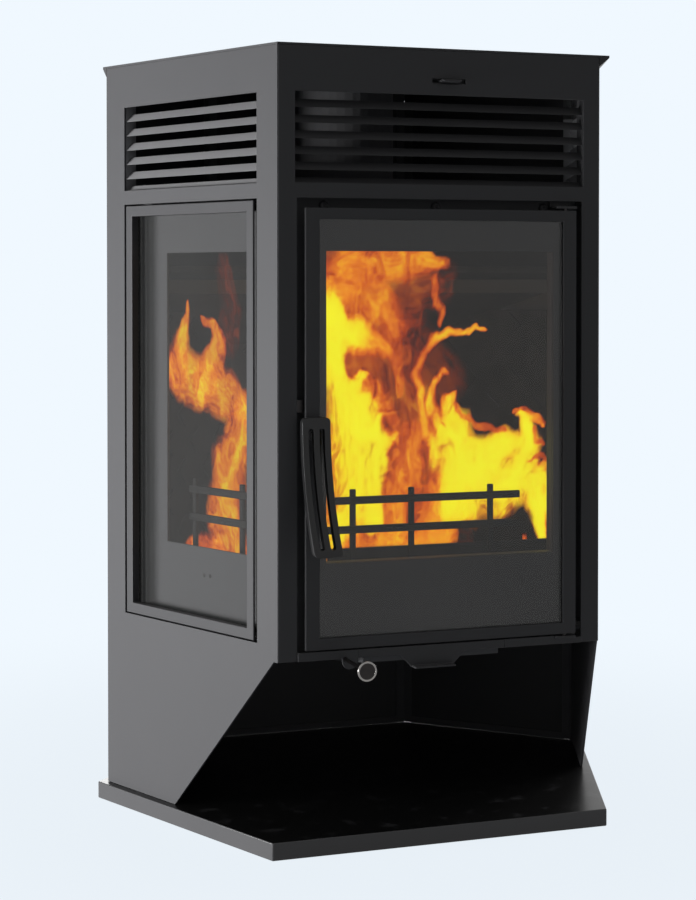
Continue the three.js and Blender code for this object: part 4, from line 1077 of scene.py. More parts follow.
@dataclass
class DoorAndWindows:
    """The framed glass door, its handle and the two fixed side windows."""

    stove: Stove
    edge: float = 1.0 * MM
    head_step: float = 20 * MM
    head_level: float = 0.8425
    head_places: tuple[float, ...] = (-0.160, -0.003, 0.154)

    def build(self) -> None:
        """Rounds and paints the frames and the handle, and glazes them."""
        stove = self.stove
        for node in ("door_frame", "glass_retainer"):
            stove.soften(node, DOOR_PAINT, "frame_paint", Body.DOOR, self.edge)
        for side in ("left", "right"):
            stove.soften(
                f"{side}_window_frame", DOOR_PAINT, "frame_paint", Body.STOVE, self.edge
            )
            stove.paint_node(f"{side}_window_glass", WINDOW_GLASS)
            stove.paint_node(f"{side}_window_gasket", SEAL_ROPE)
        stove.paint_node("door_glass", WINDOW_GLASS)
        stove.paint_node("door_gasket", SEAL_ROPE)
        stove.soften("door_handle", HANDLE_PAINT, "frame_paint", Body.HANDLE, 1.2 * MM)
        for node in ("handle_shaft", "latch_hook"):
            stove.paint_node(node, LATCH_STEEL)
        for node in ("upper_hinge_bracket", "lower_hinge_bracket"):
            stove.soften(node, DOOR_PAINT, "frame_paint", Body.STOVE, 0.6 * MM, 2)
        for node in ("upper_hinge_pin", "lower_hinge_pin", "latch_catch"):
            stove.paint_node(node, KNOB_STEEL)
        self.plate_screws()

    def plate_screws(self) -> None:
        """Sets the three half-round heads above the door, on the firebox's front plate."""
        face = FRONT_FACE_Y + self.head_step
        points = [Vector((x, face, self.head_level)) for x in self.head_places]
        normals = [Vector((0, -1, 0))] * len(points)
        piece = ScrewSet(6.5 * MM, 5 * MM, 7).build(
            "front_plate_screws", points, normals, self.stove.material(DOOR_PAINT)
        )
        self.stove.settle(piece, Body.STOVE, "frame_paint")


# ---------------------------------------------------------------- firebox


@dataclass
class Firebox:
    """The welded box, its liners, baffle, grate and log fence."""

    stove: Stove
    plate_depth: float = 31 * MM
    rivet_level: float = 0.3402
    foot_low: Vector = field(default_factory=lambda: Vector((-0.138, -0.1795, 0.3640)))
    foot_high: Vector = field(default_factory=lambda: Vector((0.198, -0.1755, 0.3865)))
    rivet_places: tuple[float, float] = (0.1862, 0.1995)

    def build(self) -> None:
        """Paints the plates and the castings."""
        stove = self.stove
        plates = (
            "firebox_floor",
            "firebox_back",
            "firebox_roof",
            "flue_duct",
            "baffle_support",
            "left_drawer_runner",
            "right_drawer_runner",
            "lever_guide",
        )
        for node in plates:
            stove.paint_node(node, FIREBOX_PAINT)
        for node in ("firebox_front", "left_firebox_side", "right_firebox_side"):
            stove.soften(node, FIREBOX_PAINT, "firebox_paint", Body.STOVE, 0.9 * MM, 2)
        for node in ("back_liner", "left_rear_liner", "right_rear_liner", "baffle", "grate"):
            stove.paint_node(node, LINER_IRON)
        stove.soften("flue_collar", LINER_IRON, "cast_iron", Body.STOVE, 0.8 * MM, 2)
        for node in ("front_fence", "left_side_fence", "right_side_fence"):
            stove.soften(node, LINER_IRON, "cast_iron", Body.STOVE, 0.9 * MM, 2)
        self.fence_foot()
        self.plate_rivets()

    def fence_foot(self) -> None:
        """Stands a low ledge behind the front fence, which keeps ash off the glass."""
        low, high = self.foot_low, self.foot_high
        shape = bmesh.new()
        bmesh.ops.create_cube(shape, size=1.0)
        size = high - low
        place = Matrix.Translation((low + high) / 2) @ Matrix.Diagonal((*size, 1))
        bmesh.ops.transform(shape, matrix=place, verts=shape.verts)
        bmesh.ops.bevel(
            shape, geom=shape.edges[:], offset=0.8 * MM, segments=2, affect="EDGES"
        )
        mesh = mesh_from(shape, "fence_foot")
        self.stove.add("fence_foot", mesh, LINER_IRON, Body.STOVE, "cast_iron")

    def plate_rivets(self) -> None:
        """Sets two small rivets in each side plate, under its fire opening."""
        points, normals = [], []
        for side in Side:
            wall = wall_matrix(side)
            for along in self.rivet_places:
                points.append(wall @ Vector((along, self.plate_depth, self.rivet_level)))
                normals.append(-wall.col[1].xyz)
        piece = ScrewSet(2.6 * MM, 1.2 * MM, 5).build(
            "side_plate_rivets", points, normals, self.stove.material(LATCH_STEEL)
        )
        self.stove.settle(piece, Body.STOVE, "bare_steel")


# ---------------------------------------------------------------- drawer and air controls


@dataclass
class Controls:
    """The sill, the ash drawer, the rod with its knob and the lever."""

    stove: Stove
    rim: float = 1.5 * MM
    turns: int = 48

    def build(self) -> None:
        """Rounds and paints each part of the controls."""
        stove = self.stove
        stove.soften("front_sill", DOOR_PAINT, "frame_paint", Body.STOVE, 0.8 * MM, 2)
        stove.soften("ash_drawer_front", DOOR_PAINT, "frame_paint", Body.DRAWER, 0.7 * MM, 2)
        stove.soften("ash_drawer_tray", FIREBOX_PAINT, "firebox_paint", Body.DRAWER, 0.5 * MM, 2)
        self.knob()
        stove.paint_node("air_rod", KNOB_STEEL)
        stove.paint_node("air_gate", FIREBOX_PAINT)
        stove.soften("air_lever", DOOR_PAINT, "frame_paint", Body.AIR_LEVER, 0.8 * MM, 2)

    def knob(self) -> None:
        """Turns the knob: a dished face, a rim in lighter steel that paints its highlight, and a neck
        on the rod.
        """
        low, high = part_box("air_knob")
        middle = (low + high) / 2
        radius = (high.x - low.x) / 2
        rim = self.rim
        arc = [math.radians(angle) for angle in range(0, 361, 30)]
        edge = radius - rim
        body = [
            (0.0, low.y + 1.6 * rim),
            (edge - rim, low.y + 1.2 * rim),
            (edge, low.y + rim),
            (edge, high.y - rim),
            (edge - rim, high.y),
            (0.0, high.y),
        ]
        turned = link(
            "air_knob_turned",
            self.lathe("air_knob_turned", body, middle),
            self.stove.material(KNOB_STEEL),
        )
        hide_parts("air_knob")
        self.stove.settle(turned, Body.AIR_ROD, "bare_steel")
        bead = [
            (edge + rim * math.cos(angle), low.y + rim + rim * math.sin(angle)) for angle in arc
        ]
        # the rim's lighter steel paints its highlight
        ring = link(
            "air_knob_rim",
            self.lathe("air_knob_rim", bead, middle),
            self.stove.material(RIM_HIGHLIGHT_STEEL),
        )
        self.stove.settle(ring, Body.AIR_ROD, "bare_steel")

    def lathe(
        self, name: str, profile: list[tuple[float, float]], middle: Vector
    ) -> bpy.types.Mesh:
        """Turns a profile of radius and depth about an axis along Y.

        Args:
            name: the mesh's name.
            profile: points from the axis in front to the axis behind.
            middle: a point on the axis.

        Returns:
            The closed mesh.
        """
        shape = bmesh.new()
        rings = []
        for radius, depth in profile:
            if radius == 0.0:
                rings.append([shape.verts.new((middle.x, depth, middle.z))])
                continue
            rings.append(
                [
                    shape.verts.new(
                        (
                            middle.x + radius * math.cos(math.tau * i / self.turns),
                            depth,
                            middle.z + radius * math.sin(math.tau * i / self.turns),
                        )
                    )
                    for i in range(self.turns)
                ]
            )
        for near, far in zip(rings, rings[1:]):
            for i in range(self.turns):
                j = (i + 1) % self.turns
                corners = [ring[k % len(ring)] for ring, k in zip((near, near, far, far), (i, j, j, i))]
                shape.faces.new(list(dict.fromkeys(corners)))
        bmesh.ops.remove_doubles(shape, verts=shape.verts, dist=1e-7)
        bmesh.ops.recalc_face_normals(shape, faces=shape.faces)
        mesh = mesh_from(shape, name)
        mesh.shade_smooth()
        return mesh


# ---------------------------------------------------------------- fire


NOISE_CELLS = 64
NOISE_SHIFT_X = 17.3
NOISE_SHIFT_Z = 9.1
NOISE_FALLOFF = 0.55


def lattice_noise(x: np.ndarray, z: np.ndarray, seed: int, layers: int = 5) -> np.ndarray:
    """Gives layered smooth noise from -1 to 1 on a plane.

    Args:
        x: first coordinate, in cells of the coarsest layer.
        z: second coordinate, in the same cells.
        seed: fixes the pattern.
        layers: the number of layers, each twice as fine and about half as strong.

    Returns:
        The noise at each place.
    """
    table = np.random.default_rng(seed).uniform(-1, 1, (NOISE_CELLS, NOISE_CELLS))
    total = np.zeros_like(x)
    strength, weight = 1.0, 0.0
    for layer in range(layers):
        scaled_x = x * 2**layer + NOISE_SHIFT_X * layer
        scaled_z = z * 2**layer + NOISE_SHIFT_Z * layer
        cell_x, cell_z = np.floor(scaled_x).astype(int), np.floor(scaled_z).astype(int)
        part_x, part_z = scaled_x - cell_x, scaled_z - cell_z
        part_x = part_x * part_x * (3 - 2 * part_x)
        part_z = part_z * part_z * (3 - 2 * part_z)
        left, right = cell_x % NOISE_CELLS, (cell_x + 1) % NOISE_CELLS
        under, over = cell_z % NOISE_CELLS, (cell_z + 1) % NOISE_CELLS
        low = table[left, under] * (1 - part_x) + table[right, under] * part_x
        high = table[left, over] * (1 - part_x) + table[right, over] * part_x
        total += strength * (low * (1 - part_z) + high * part_z)
        weight += strength
        strength *= NOISE_FALLOFF
    return total / weight


@dataclass(frozen=True)
class Tongue:
    """One tongue of flame along a bent spine.

    A point of the spine is (across, up, half width, heat): three lengths in millimetres, the
    first two from the sheet's lower left corner, and heat from 0, dull red, to 100, yellow.
    """

    spine: tuple[tuple[float, float, float, float], ...]
    cover: float = 1.0

    def bends(self) -> list[tuple[float, float, float, float]]:
        """Gives the spine in metres, with heat from 0 to 1.

        Returns:
            (across, up, half width, heat) at each point.
        """
        return [
            (across / 1000, up / 1000, half / 1000, heat / 100)
            for across, up, half, heat in self.spine
        ]


@dataclass
class FlameSheet:
    """One sheet of flame: tongues torn by rising noise, with bright threads along them."""

    name: str
    place: Matrix
    width: float
    height: float
    tongues: tuple[Tongue, ...]
    seed: int
    step: float = 2.0 * MM
    sway: float = 14 * MM
    thread: float = 5.5 * MM
    foot: float = 0.0
    coarse: float = 0.040
    fine: float = 0.012
    curl_cell: float = 0.03
    swirl_cell: float = 0.024
    sway_cell: float = 0.09
    lean_reach: float = 0.013
    rise_reach: float = 0.016
    lick_reach: float = 0.0035
    rim_fade: float = 0.004
    least_cover: float = 0.02
    large_stretch: float = 0.5
    small_stretch: float = 0.6
    curl_strength: float = 2.2
    tongue_reach: float = 1.3
    tongue_edge: float = 2.6
    tongue_phase: float = 0.37
    thread_length: float = 9.0
    thread_edge: float = 2.6
    core_heat: float = 0.50
    thread_heat: float = 0.13
    swirl_heat: float = 0.30
    heat_loss: float = 0.03
    plain_cover: float = 0.80
    thread_cover: float = 0.35
    swirl_cover: float = 0.55
    core_cover: float = 0.6
    core_level: float = 0.4

    def fields(self, x: np.ndarray, z: np.ndarray) -> tuple[np.ndarray, np.ndarray]:
        """Works out how dense and how hot the flame is.

        Args:
            x: places across the sheet.
            z: places up the sheet.

        Returns:
            Cover from 0 to 1 and heat from 0 to 1 at each place.
        """
        coarse, fine = self.coarse, self.fine
        lean = lattice_noise(x / coarse, z * self.large_stretch / coarse, self.seed, 4)
        rise = lattice_noise(
            x / coarse + 31, z * self.large_stretch / coarse + 7, self.seed + 1, 4
        )
        lick = lattice_noise(x / fine + 3, z * self.small_stretch / fine, self.seed + 2, 3)
        bent_x = x + self.lean_reach * lean + self.lick_reach * lick
        bent_z = z + self.rise_reach * rise + self.lick_reach * lick
        clear = np.ones_like(x)
        weight = np.full_like(x, 1e-9)
        heat = np.zeros_like(x)
        along = np.zeros_like(x)
        aside = np.zeros_like(x)
        for number, tongue in enumerate(self.tongues):
            inside = np.zeros_like(x)
            warmth = np.zeros_like(x)
            run_length = self.tongue_phase * number
            near_along = np.zeros_like(x)
            near_aside = np.zeros_like(x)
            bends = tongue.bends()
            for (xa, za, ra, ha), (xb, zb, rb, hb) in zip(bends, bends[1:]):
                run = np.array((xb - xa, zb - za))
                length = float(np.hypot(*run))
                share = ((bent_x - xa) * run[0] + (bent_z - za) * run[1]) / length**2
                held = np.clip(share, 0, 1)
                off_x, off_z = bent_x - xa - held * run[0], bent_z - za - held * run[1]
                radius = ra + (rb - ra) * held
                depth = np.clip(self.tongue_reach - np.hypot(off_x, off_z) / radius, 0, 1)
                nearer = depth > inside
                inside = np.where(nearer, depth, inside)
                warmth = np.where(nearer, ha + (hb - ha) * held, warmth)
                near_along = np.where(nearer, run_length + share * length, near_along)
                sideways = (off_x * run[1] - off_z * run[0]) / length
                near_aside = np.where(nearer, sideways, near_aside)
                run_length += length
            pull = inside**3
            heat += pull * warmth
            along += pull * near_along
            aside += pull * near_aside
            weight += pull
            body = np.clip(inside * self.tongue_edge, 0, 1)
            clear *= 1 - body * tongue.cover
        heat, along, aside = heat / weight, along / weight, aside / weight
        cover = 1 - clear
        core = np.clip(weight ** (1 / 3), 0, 1)
        cell = self.curl_cell
        curl = self.curl_strength * lattice_noise(
            x / cell, z * self.small_stretch / cell, self.seed + 3, 3
        )
        flow = lattice_noise(
            aside / self.thread + curl,
            along / (self.thread_length * self.thread) + curl,
            self.seed + 4,
            3,
        )
        threads = np.clip(1 - self.thread_edge * np.abs(flow), 0, 1)
        cell = self.swirl_cell
        swirl = lattice_noise(
            x / cell + curl, z * self.large_stretch / cell + curl, self.seed + 6, 4
        )
        heat = heat * (1 - self.core_heat + self.core_heat * core)
        heat = heat + self.thread_heat * threads + self.swirl_heat * swirl - self.heat_loss
        patchy = self.plain_cover + self.thread_cover * threads + self.swirl_cover * swirl
        cover = cover * np.clip(patchy + self.core_cover * (core - self.core_level), 0, 1)
        return np.clip(cover, 0, 1), np.clip(heat, 0, 1)

    def build(self, stove: Stove) -> bpy.types.Object:
        """Builds the sheet as a grid cut back to where the flame is.

        Args:
            stove: the stove that the sheet is added to.

        Returns:
            The sheet, settled on the stove's body.
        """
        columns, rows = int(self.width / self.step), int(self.height / self.step)
        x, z = np.meshgrid(
            np.linspace(0, self.width, columns + 1), np.linspace(0, self.height, rows + 1)
        )
        veil, heat = self.fields(x, z)
        cell = self.sway_cell
        depth = self.sway * lattice_noise(
            x / cell, z * self.small_stretch / cell, self.seed + 5, 3
        )
        inset = [x, self.width - x, self.height - z, z - self.foot]
        edge = np.minimum.reduce(inset) / self.rim_fade
        veil = veil * np.clip(edge, 0, 1)
        keep = veil > self.least_cover
        quads = grid_quads(*x.shape)
        live = keep[:-1, :-1] | keep[:-1, 1:] | keep[1:, 1:] | keep[1:, :-1]
        quads = quads[live]
        used, flat = np.unique(quads, return_inverse=True)
        places = np.stack([x.ravel(), depth.ravel(), z.ravel()], axis=-1)[used]
        mesh = bpy.data.meshes.new(self.name)
        mesh.from_pydata(places.tolist(), [], flat.reshape(-1, 4).tolist())
        for name, values in (("flame_veil", veil), ("flame_heat", heat)):
            layer = mesh.attributes.new(name, "FLOAT", "POINT")
            layer.data.foreach_set("value", values.ravel()[used].astype(np.float32))
        mesh.transform(self.place)
        mesh.shade_smooth()
        return stove.add(self.name, mesh, FLAME, Body.STOVE, "firebox_paint")


FRONT_TONGUES = (
    # smoke lit from below, which fills the room between the tongues
    Tongue(((30, 460, 60, 30), (100, 430, 60, 26), (155, 440, 35, 22)), 0.45),
    Tongue(((80, 360, 50, 26), (100, 280, 50, 28), (120, 220, 35, 30)), 0.50),
    Tongue(((130, 360, 40, 20), (160, 310, 40, 20), (140, 250, 30, 24)), 0.28),
    # the orange top that rolls over to the right, its fold back and its wisp
    Tongue(((13, 440, 30, 52), (45, 459, 30, 50), (80, 470, 26, 48), (120, 468, 21, 46),
            (150, 470, 16, 46), (174, 470, 8, 50)), 0.9),
    Tongue(((47, 440, 34, 46), (79, 405, 28, 46), (102, 385, 18, 48), (94, 357, 13, 42),
            (103, 330, 9, 42), (110, 300, 6, 36)), 0.85),
    Tongue(((166, 446, 6, 48), (171, 425, 7, 50), (179, 405, 6, 46), (175, 388, 3, 40)), 0.9),
    Tongue(((60, 300, 16, 34), (85, 270, 16, 36), (100, 250, 12, 36)), 0.6),
    # the tall body of flame at the left, its inner edge and its two curls
    Tongue(((17, 87, 26, 80), (39, 149, 32, 86), (41, 230, 37, 92), (34, 285, 30, 95),
            (12, 335, 17, 98), (12, 380, 24, 92), (6, 432, 12, 80))),
    Tongue(((74, 118, 22, 90), (70, 206, 24, 95), (60, 262, 19, 90), (48, 300, 12, 95))),
    Tongue(((17, 388, 22, 90), (50, 366, 16, 86), (88, 350, 9, 84))),
    Tongue(((30, 300, 10, 98), (50, 306, 8, 95), (56, 322, 5, 88))),
    Tongue(((82, 219, 16, 90), (106, 232, 9, 88), (110, 222, 4, 80))),
    # the low middle
    Tongue(((103, 66, 24, 44), (111, 147, 26, 42), (122, 194, 22, 38), (132, 241, 17, 36)), 0.95),
    Tongue(((150, 88, 26, 46), (158, 168, 16, 40)), 0.95),
    # the thin curl
    Tongue(((176, 180, 12, 80), (150, 240, 7, 74), (143, 289, 6, 74), (134, 322, 8, 74),
            (150, 350, 6, 72), (168, 368, 8, 66), (191, 379, 5, 60), (225, 381, 3, 62),
            (238, 377, 2, 50)), 0.95),
    Tongue(((169, 230, 12, 82), (158, 281, 8, 84), (166, 304, 5, 80), (178, 318, 4, 60)), 0.95),
    # the mass at the right and the tips on it
    Tongue(((180, 134, 30, 88), (191, 198, 34, 88), (184, 245, 22, 84), (183, 276, 10, 78),
            (192, 290, 4, 60))),
    Tongue(((214, 146, 34, 92), (236, 196, 31, 90), (259, 218, 20, 86), (285, 214, 14, 84))),
    Tongue(((259, 150, 32, 92), (289, 176, 28, 92), (308, 214, 15, 90), (298, 244, 12, 90),
            (284, 256, 5, 80))),
    Tongue(((296, 252, 10, 70), (316, 250, 6, 55), (327, 234, 3, 45))),
    Tongue(((318, 176, 10, 70), (336, 186, 5, 50), (344, 170, 4, 50)), 0.9),
    Tongue(((314, 156, 24, 88), (322, 124, 19, 90), (320, 96, 10, 92), (318, 84, 4, 90))),
    # thin red edges that trail off the yellow mass
    Tongue(((191, 273, 4.1, 30), (198, 255, 4.1, 30), (217, 243, 4.1, 25), (239, 245, 4.1, 25),
            (262, 234, 4.1, 25)), 0.9),
    Tongue(((278, 262, 4.2, 30), (298, 264, 4.2, 28), (314, 252, 4.2, 25),
            (329, 239, 2.8, 20)), 0.9),
    Tongue(((314, 231, 4.2, 30), (316, 217, 4.2, 28), (326, 210, 2.8, 20)), 0.9),
    Tongue(((304, 193, 2.8, 30), (320, 196, 4.2, 25), (337, 191, 2.8, 20)), 0.9),
    Tongue(((64, 311, 4, 25), (73, 293, 5.4, 22), (85, 270, 5.4, 22), (99, 254, 10.8, 25)), 0.9),
    Tongue(((328, 121, 2.8, 30), (331, 103, 4.2, 25), (334, 89, 2.8, 20)), 0.9),
    Tongue(((169, 254, 2.7, 30), (175, 247, 2.7, 30)), 0.9),
    Tongue(((151, 233, 2.7, 30), (149, 257, 2.7, 30)), 0.9),
    # the low row behind the fence
    Tongue(((10, 74, 19, 44), (82, 78, 20, 46), (140, 80, 20, 46), (175, 89, 16, 46)), 0.97),
)

REAR_TONGUES = (
    Tongue(((50, 0, 50, 35), (60, 120, 45, 35), (75, 220, 35, 25), (90, 300, 30, 20),
            (80, 360, 20, 20)), 0.5),
    Tongue(((170, 0, 60, 40), (190, 90, 50, 35), (170, 150, 30, 25)), 0.6),
)

LEFT_TONGUES = (
    # the column at the front edge of the side window
    Tongue(((129, 48, 26, 42), (165, 109, 30, 52), (156, 152, 26, 52), (158, 193, 28, 52),
            (140, 230, 28, 50), (129, 258, 22, 50)), 0.8),
    # the mass half way up, its two tips and its rolled edge
    Tongue(((122, 266, 22, 50), (163, 284, 30, 50), (210, 296, 32, 50), (258, 306, 32, 48),
            (289, 319, 26, 46)), 0.8),
    Tongue(((275, 319, 26, 48), (265, 355, 19, 50), (252, 384, 10, 48), (243, 407, 4, 44)), 0.8),
    Tongue(((210, 300, 26, 50), (193, 335, 18, 52), (179, 361, 12, 52), (188, 384, 8, 50),
            (209, 388, 5, 44)), 0.8),
    # dull red wisps of smoke above
    Tongue(((160, 360, 20, 10), (150, 410, 18, 8), (165, 460, 14, 8)), 0.3),
    # the low row behind the fence
    Tongue(((240, 56, 16, 34), (180, 62, 20, 36)), 0.9),
)

RIGHT_TONGUES = (
    Tongue(((240, 40, 12, 34), (180, 45, 14, 36)), 0.9),
)


@dataclass
class Fire:
    """Logs on the grate, a bed of ash and embers, and the flames above them."""

    stove: Stove
    grate_top: float = 0.2783
    bed_left: float = -0.16
    bed_right: float = 0.16
    bed_front: float = -0.165
    bed_back: float = 0.13

    def build(self) -> None:
        """Lays the bed and the logs and lights them."""
        self.ash_bed()
        logs = (
            ((-0.125, -0.120, 0.322), (0.130, -0.095, 0.322), 0.038),
            ((-0.150, 0.010, 0.322), (0.140, 0.040, 0.318), 0.036),
            ((-0.095, -0.130, 0.385), (0.015, 0.075, 0.382), 0.034),
            ((0.070, -0.125, 0.383), (0.075, 0.085, 0.378), 0.031),
        )
        for number, (start, end, radius) in enumerate(logs, 1):
            self.log(f"burning_log_{number}", Vector(start), Vector(end), radius, number)
        self.flames()

    def log(self, name: str, start: Vector, end: Vector, radius: float, seed: int) -> None:
        """Builds one split log between two points.

        Args:
            name: the piece's name.
            start: the middle of one end.
            end: the middle of the other end.
            radius: its mean radius.
            seed: fixes its bumps.
        """
        around, along = 36, 48
        axis = (end - start).normalized()
        across = axis.cross(Vector((0, 0, 1))).normalized()
        up = across.cross(axis)
        angle, share = np.meshgrid(
            np.linspace(0, 2 * np.pi, around, endpoint=False), np.linspace(0, 1, along)
        )
        split = 1 - 0.16 * np.clip(np.cos(angle - seed), 0.2, 1)
        rough = lattice_noise(np.cos(angle) * 1.6 + 5 + seed, share * 5, seed, 4)
        ridge = lattice_noise(angle * 3.2, share * 1.5 + seed, seed + 9, 3) * np.sin(angle / 2)
        ends = np.minimum(share, 1 - share) / 0.05
        taper = 0.86 + 0.14 * np.clip(ends, 0, 1)
        size = radius * split * (1 + 0.10 * rough + 0.05 * ridge) * taper
        length = (end - start).length
        points = []
        for a, s, r in zip(angle.ravel(), share.ravel(), size.ravel()):
            middle = start + axis * (float(s) * length)
            points.append(middle + across * float(r * math.cos(a)) + up * float(r * math.sin(a)))
        faces = []
        for j in range(along - 1):
            for i in range(around):
                k = (i + 1) % around
                low, high = j * around, (j + 1) * around
                faces.append((low + i, high + i, high + k, low + k))
        faces.append(tuple(range(around)))
        faces.append(tuple(reversed(range((along - 1) * around, along * around))))
        mesh = bpy.data.meshes.new(name)
        mesh.from_pydata([tuple(p) for p in points], [], faces)
        mesh.shade_smooth()
        self.stove.add(name, mesh, LOG_CHAR, Body.STOVE, "cast_iron")

    def ash_bed(self) -> None:
        """Builds a low mound of ash and embers on the grate."""
        columns, rows = 90, 80
        x, y = np.meshgrid(
            np.linspace(self.bed_left, self.bed_right, columns),
            np.linspace(self.bed_front, self.bed_back, rows),
        )
        lumps = lattice_noise(x / 0.03, y / 0.03, 21, 4)
        inset = [x - self.bed_left, self.bed_right - x, y - self.bed_front, self.bed_back - y]
        edge = np.minimum.reduce(inset) / 0.05
        z = self.grate_top + 0.001 + (0.016 + 0.009 * lumps) * np.clip(edge, 0, 1)
        places = np.stack([x.ravel(), y.ravel(), z.ravel()], axis=-1)
        mesh = bpy.data.meshes.new("ash_bed")
        mesh.from_pydata(places.tolist(), [], grid_quads(rows, columns).reshape(-1, 4).tolist())
        mesh.shade_smooth()
        self.stove.add("ash_bed", mesh, ASH_BED, Body.STOVE, "cast_iron")

    def flames(self) -> None:
        """Lights the sheets at the front and the rear, and one along each side window."""
        front = Matrix.Translation((-0.140, -0.165, 0.300))
        FlameSheet(
            "flames_front", front, 0.352, 0.496, FRONT_TONGUES, 11, step=1.7 * MM, foot=0.082
        ).build(self.stove)
        rear = Matrix.Translation((-0.13, -0.03, 0.33))
        FlameSheet(
            "flames_rear", rear, 0.28, 0.42, REAR_TONGUES, 23, sway=22 * MM
        ).build(self.stove)
        for side, tongues in ((Side.LEFT, LEFT_TONGUES), (Side.RIGHT, RIGHT_TONGUES)):
            place = wall_matrix(side) @ Matrix.Translation((0.060, 0.085, 0.300))
            FlameSheet(
                f"flames_{side.name.lower()}", place, 0.32, 0.49, tongues, 31, sway=8 * MM
            ).build(self.stove)


# ---------------------------------------------------------------- studio


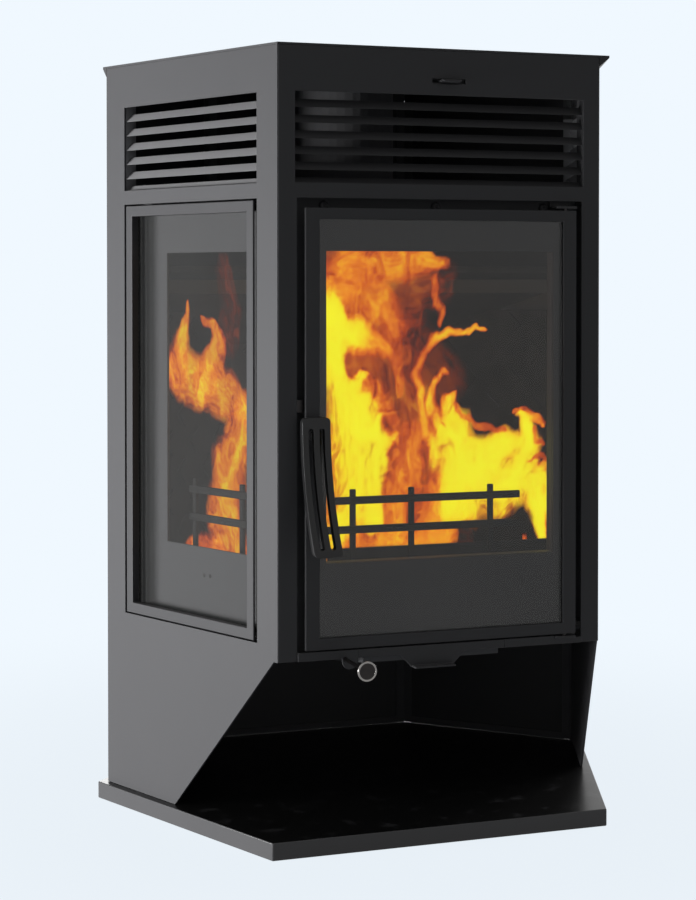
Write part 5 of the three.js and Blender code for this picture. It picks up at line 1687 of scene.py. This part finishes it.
@dataclass
class Studio:
    """A pale floor, soft lamps and the camera at the photograph's place."""

    camera_place: tuple[float, float, float] = (-0.96921, -2.59482, 0.74935)
    camera_yaw: float = math.radians(19.593)
    camera_pitch: float = math.radians(1.133)
    lens: float = 76.8986
    shift: float = -0.15
    backdrop: str = "#f0f8ff"
    mirrored: str = "#f0f0f0"
    floor_paint: str = "#9aa0a6"
    floor_reach: float = 30
    shadow_share: float = 0.08
    shadow_start: float = 0.35
    shadow_reach: float = 1.5
    ambient: float = 0.09

    def build(self) -> None:
        """Sets the camera, lamps, world and floor."""
        scene = bpy.context.scene
        scene.view_settings.view_transform = "Standard"
        self.camera(scene)
        self.world(scene)
        self.floor()
        self.lamp("left_softbox", (-2.9, 0.1, 0.30), (-0.3, 0.0, 0.50), (1.2, 0.55), 104)
        self.lamp("right_fill", (2.8, 0.9, 1.0), (0.2, 0.0, 0.5), (1.2, 1.2), 48)
        self.lamp("back_fill", (0.6, 3.2, 1.1), (0, 0.2, 0.5), (1.8, 1.8), 46)

    def camera(self, scene: bpy.types.Scene) -> None:
        """Puts the camera where the photograph was taken.

        Args:
            scene: the scene that gets the camera.
        """
        data = bpy.data.cameras.new("camera")
        data.sensor_width = 36
        data.lens = self.lens
        data.shift_y = self.shift
        camera = bpy.data.objects.new("camera", data)
        camera.location = self.camera_place
        camera.rotation_euler = (math.pi / 2 - self.camera_pitch, 0, -self.camera_yaw)
        scene.collection.objects.link(camera)
        scene.camera = camera

    def world(self, scene: bpy.types.Scene) -> None:
        """Lights all round evenly, and shows the pale background to the eye and in gloss.

        Args:
            scene: the scene that gets the world.
        """
        world = bpy.data.worlds.new("studio")
        world.use_nodes = True
        scene.world = world
        tree = world.node_tree
        path = add_node(tree, "ShaderNodeLightPath")
        strength = add_node(
            tree,
            "ShaderNodeMapRange",
            {"Value": self.seen(tree, path), "To Min": self.ambient, "To Max": 1.0},
        ).outputs["Result"]
        background = tree.nodes["Background"]
        tree.links.new(self.backdrop_colour(tree, path), background.inputs["Color"])
        tree.links.new(strength, background.inputs["Strength"])

    def seen(self, tree: bpy.types.NodeTree, path: bpy.types.Node) -> bpy.types.NodeSocket:
        """Gives 1 for what the eye sees, straight or in gloss or through glass, and else 0.

        Args:
            tree: the node tree that gets the sums.
            path: its Light Path node.

        Returns:
            The share, 0 or 1.
        """
        share = path.outputs["Is Camera Ray"]
        for other in ("Is Glossy Ray", "Is Transmission Ray"):
            rays = {0: share, 1: path.outputs[other]}
            share = add_node(tree, "ShaderNodeMath", rays, operation="MAXIMUM").outputs[0]
        return share

    def backdrop_colour(
        self, tree: bpy.types.NodeTree, path: bpy.types.Node
    ) -> bpy.types.NodeSocket:
        """Gives the backdrop's tint to the eye and a neutral near-white to every other ray.

        Args:
            tree: the node tree that gets the mix.
            path: its Light Path node.

        Returns:
            The mixed colour.
        """
        tints = {0: path.outputs["Is Camera Ray"], 6: linear(self.mirrored), 7: linear(self.backdrop)}
        return add_node(tree, "ShaderNodeMix", tints, data_type="RGBA").outputs[2]

    def floor(self) -> None:
        """Lays a pale floor that melts into the background and keeps the stove's shadow."""
        mesh = bpy.data.meshes.new("floor")
        reach = self.floor_reach
        signs = ((-1, -1), (1, -1), (1, 1), (-1, 1))
        mesh.from_pydata([(reach * x, reach * y, 0) for x, y in signs], [], [(0, 1, 2, 3)])
        material, tree, shader = new_material("pale_floor")
        paint = {"Base Color": linear(self.floor_paint), "Roughness": 1.0, "Specular IOR Level": 0.0}
        fill(shader, paint)
        path = add_node(tree, "ShaderNodeLightPath")
        seen = self.seen(tree, path)
        place = add_node(tree, "ShaderNodeTexCoord").outputs["Object"]
        away = add_node(
            tree, "ShaderNodeVectorMath", {0: place}, operation="LENGTH"
        ).outputs["Value"]
        fade = add_node(
            tree,
            "ShaderNodeMapRange",
            {
                "Value": away,
                "From Min": self.shadow_start,
                "From Max": self.shadow_reach,
                "To Min": 1 - self.shadow_share,
                "To Max": 1.0,
            },
            interpolation_type="SMOOTHSTEP",
        ).outputs["Result"]
        share = add_node(
            tree, "ShaderNodeMath", {0: seen, 1: fade}, operation="MULTIPLY"
        ).outputs[0]
        glow = add_node(
            tree,
            "ShaderNodeEmission",
            {"Color": self.backdrop_colour(tree, path), "Strength": 1.0},
        )
        mix = add_node(
            tree,
            "ShaderNodeMixShader",
            {0: share, 1: shader.outputs["BSDF"], 2: glow.outputs["Emission"]},
        )
        tree.links.new(mix.outputs["Shader"], tree.nodes["Material Output"].inputs["Surface"])
        floor = link("floor", mesh, material)

    def lamp(
        self,
        name: str,
        place: tuple[float, float, float],
        target: tuple[float, float, float],
        size: tuple[float, float],
        power: float,
    ) -> None:
        """Sets one soft lamp.

        Args:
            name: the lamp's name.
            place: where it stands.
            target: the point it faces.
            size: its width and height.
            power: its power in watts.
        """
        data = bpy.data.lights.new(name, "AREA")
        data.shape = "RECTANGLE"
        data.size, data.size_y = size
        data.energy = power
        lamp = bpy.data.objects.new(name, data)
        lamp.location = place
        lamp.rotation_euler = (Vector(target) - Vector(place)).to_track_quat("-Z", "Y").to_euler()
        bpy.context.scene.collection.objects.link(lamp)


def main() -> None:
    """Builds the studio and every sub-assembly."""
    logging.basicConfig(level=logging.INFO, format="%(name)s: %(message)s")
    stove = Stove(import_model())
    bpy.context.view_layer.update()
    Studio().build()
    for part in (
        Casing(stove),
        DoorAndWindows(stove),
        Firebox(stove),
        Controls(stove),
        Fire(stove),
    ):
        part.build()


if __name__ == "__main__":
    main()
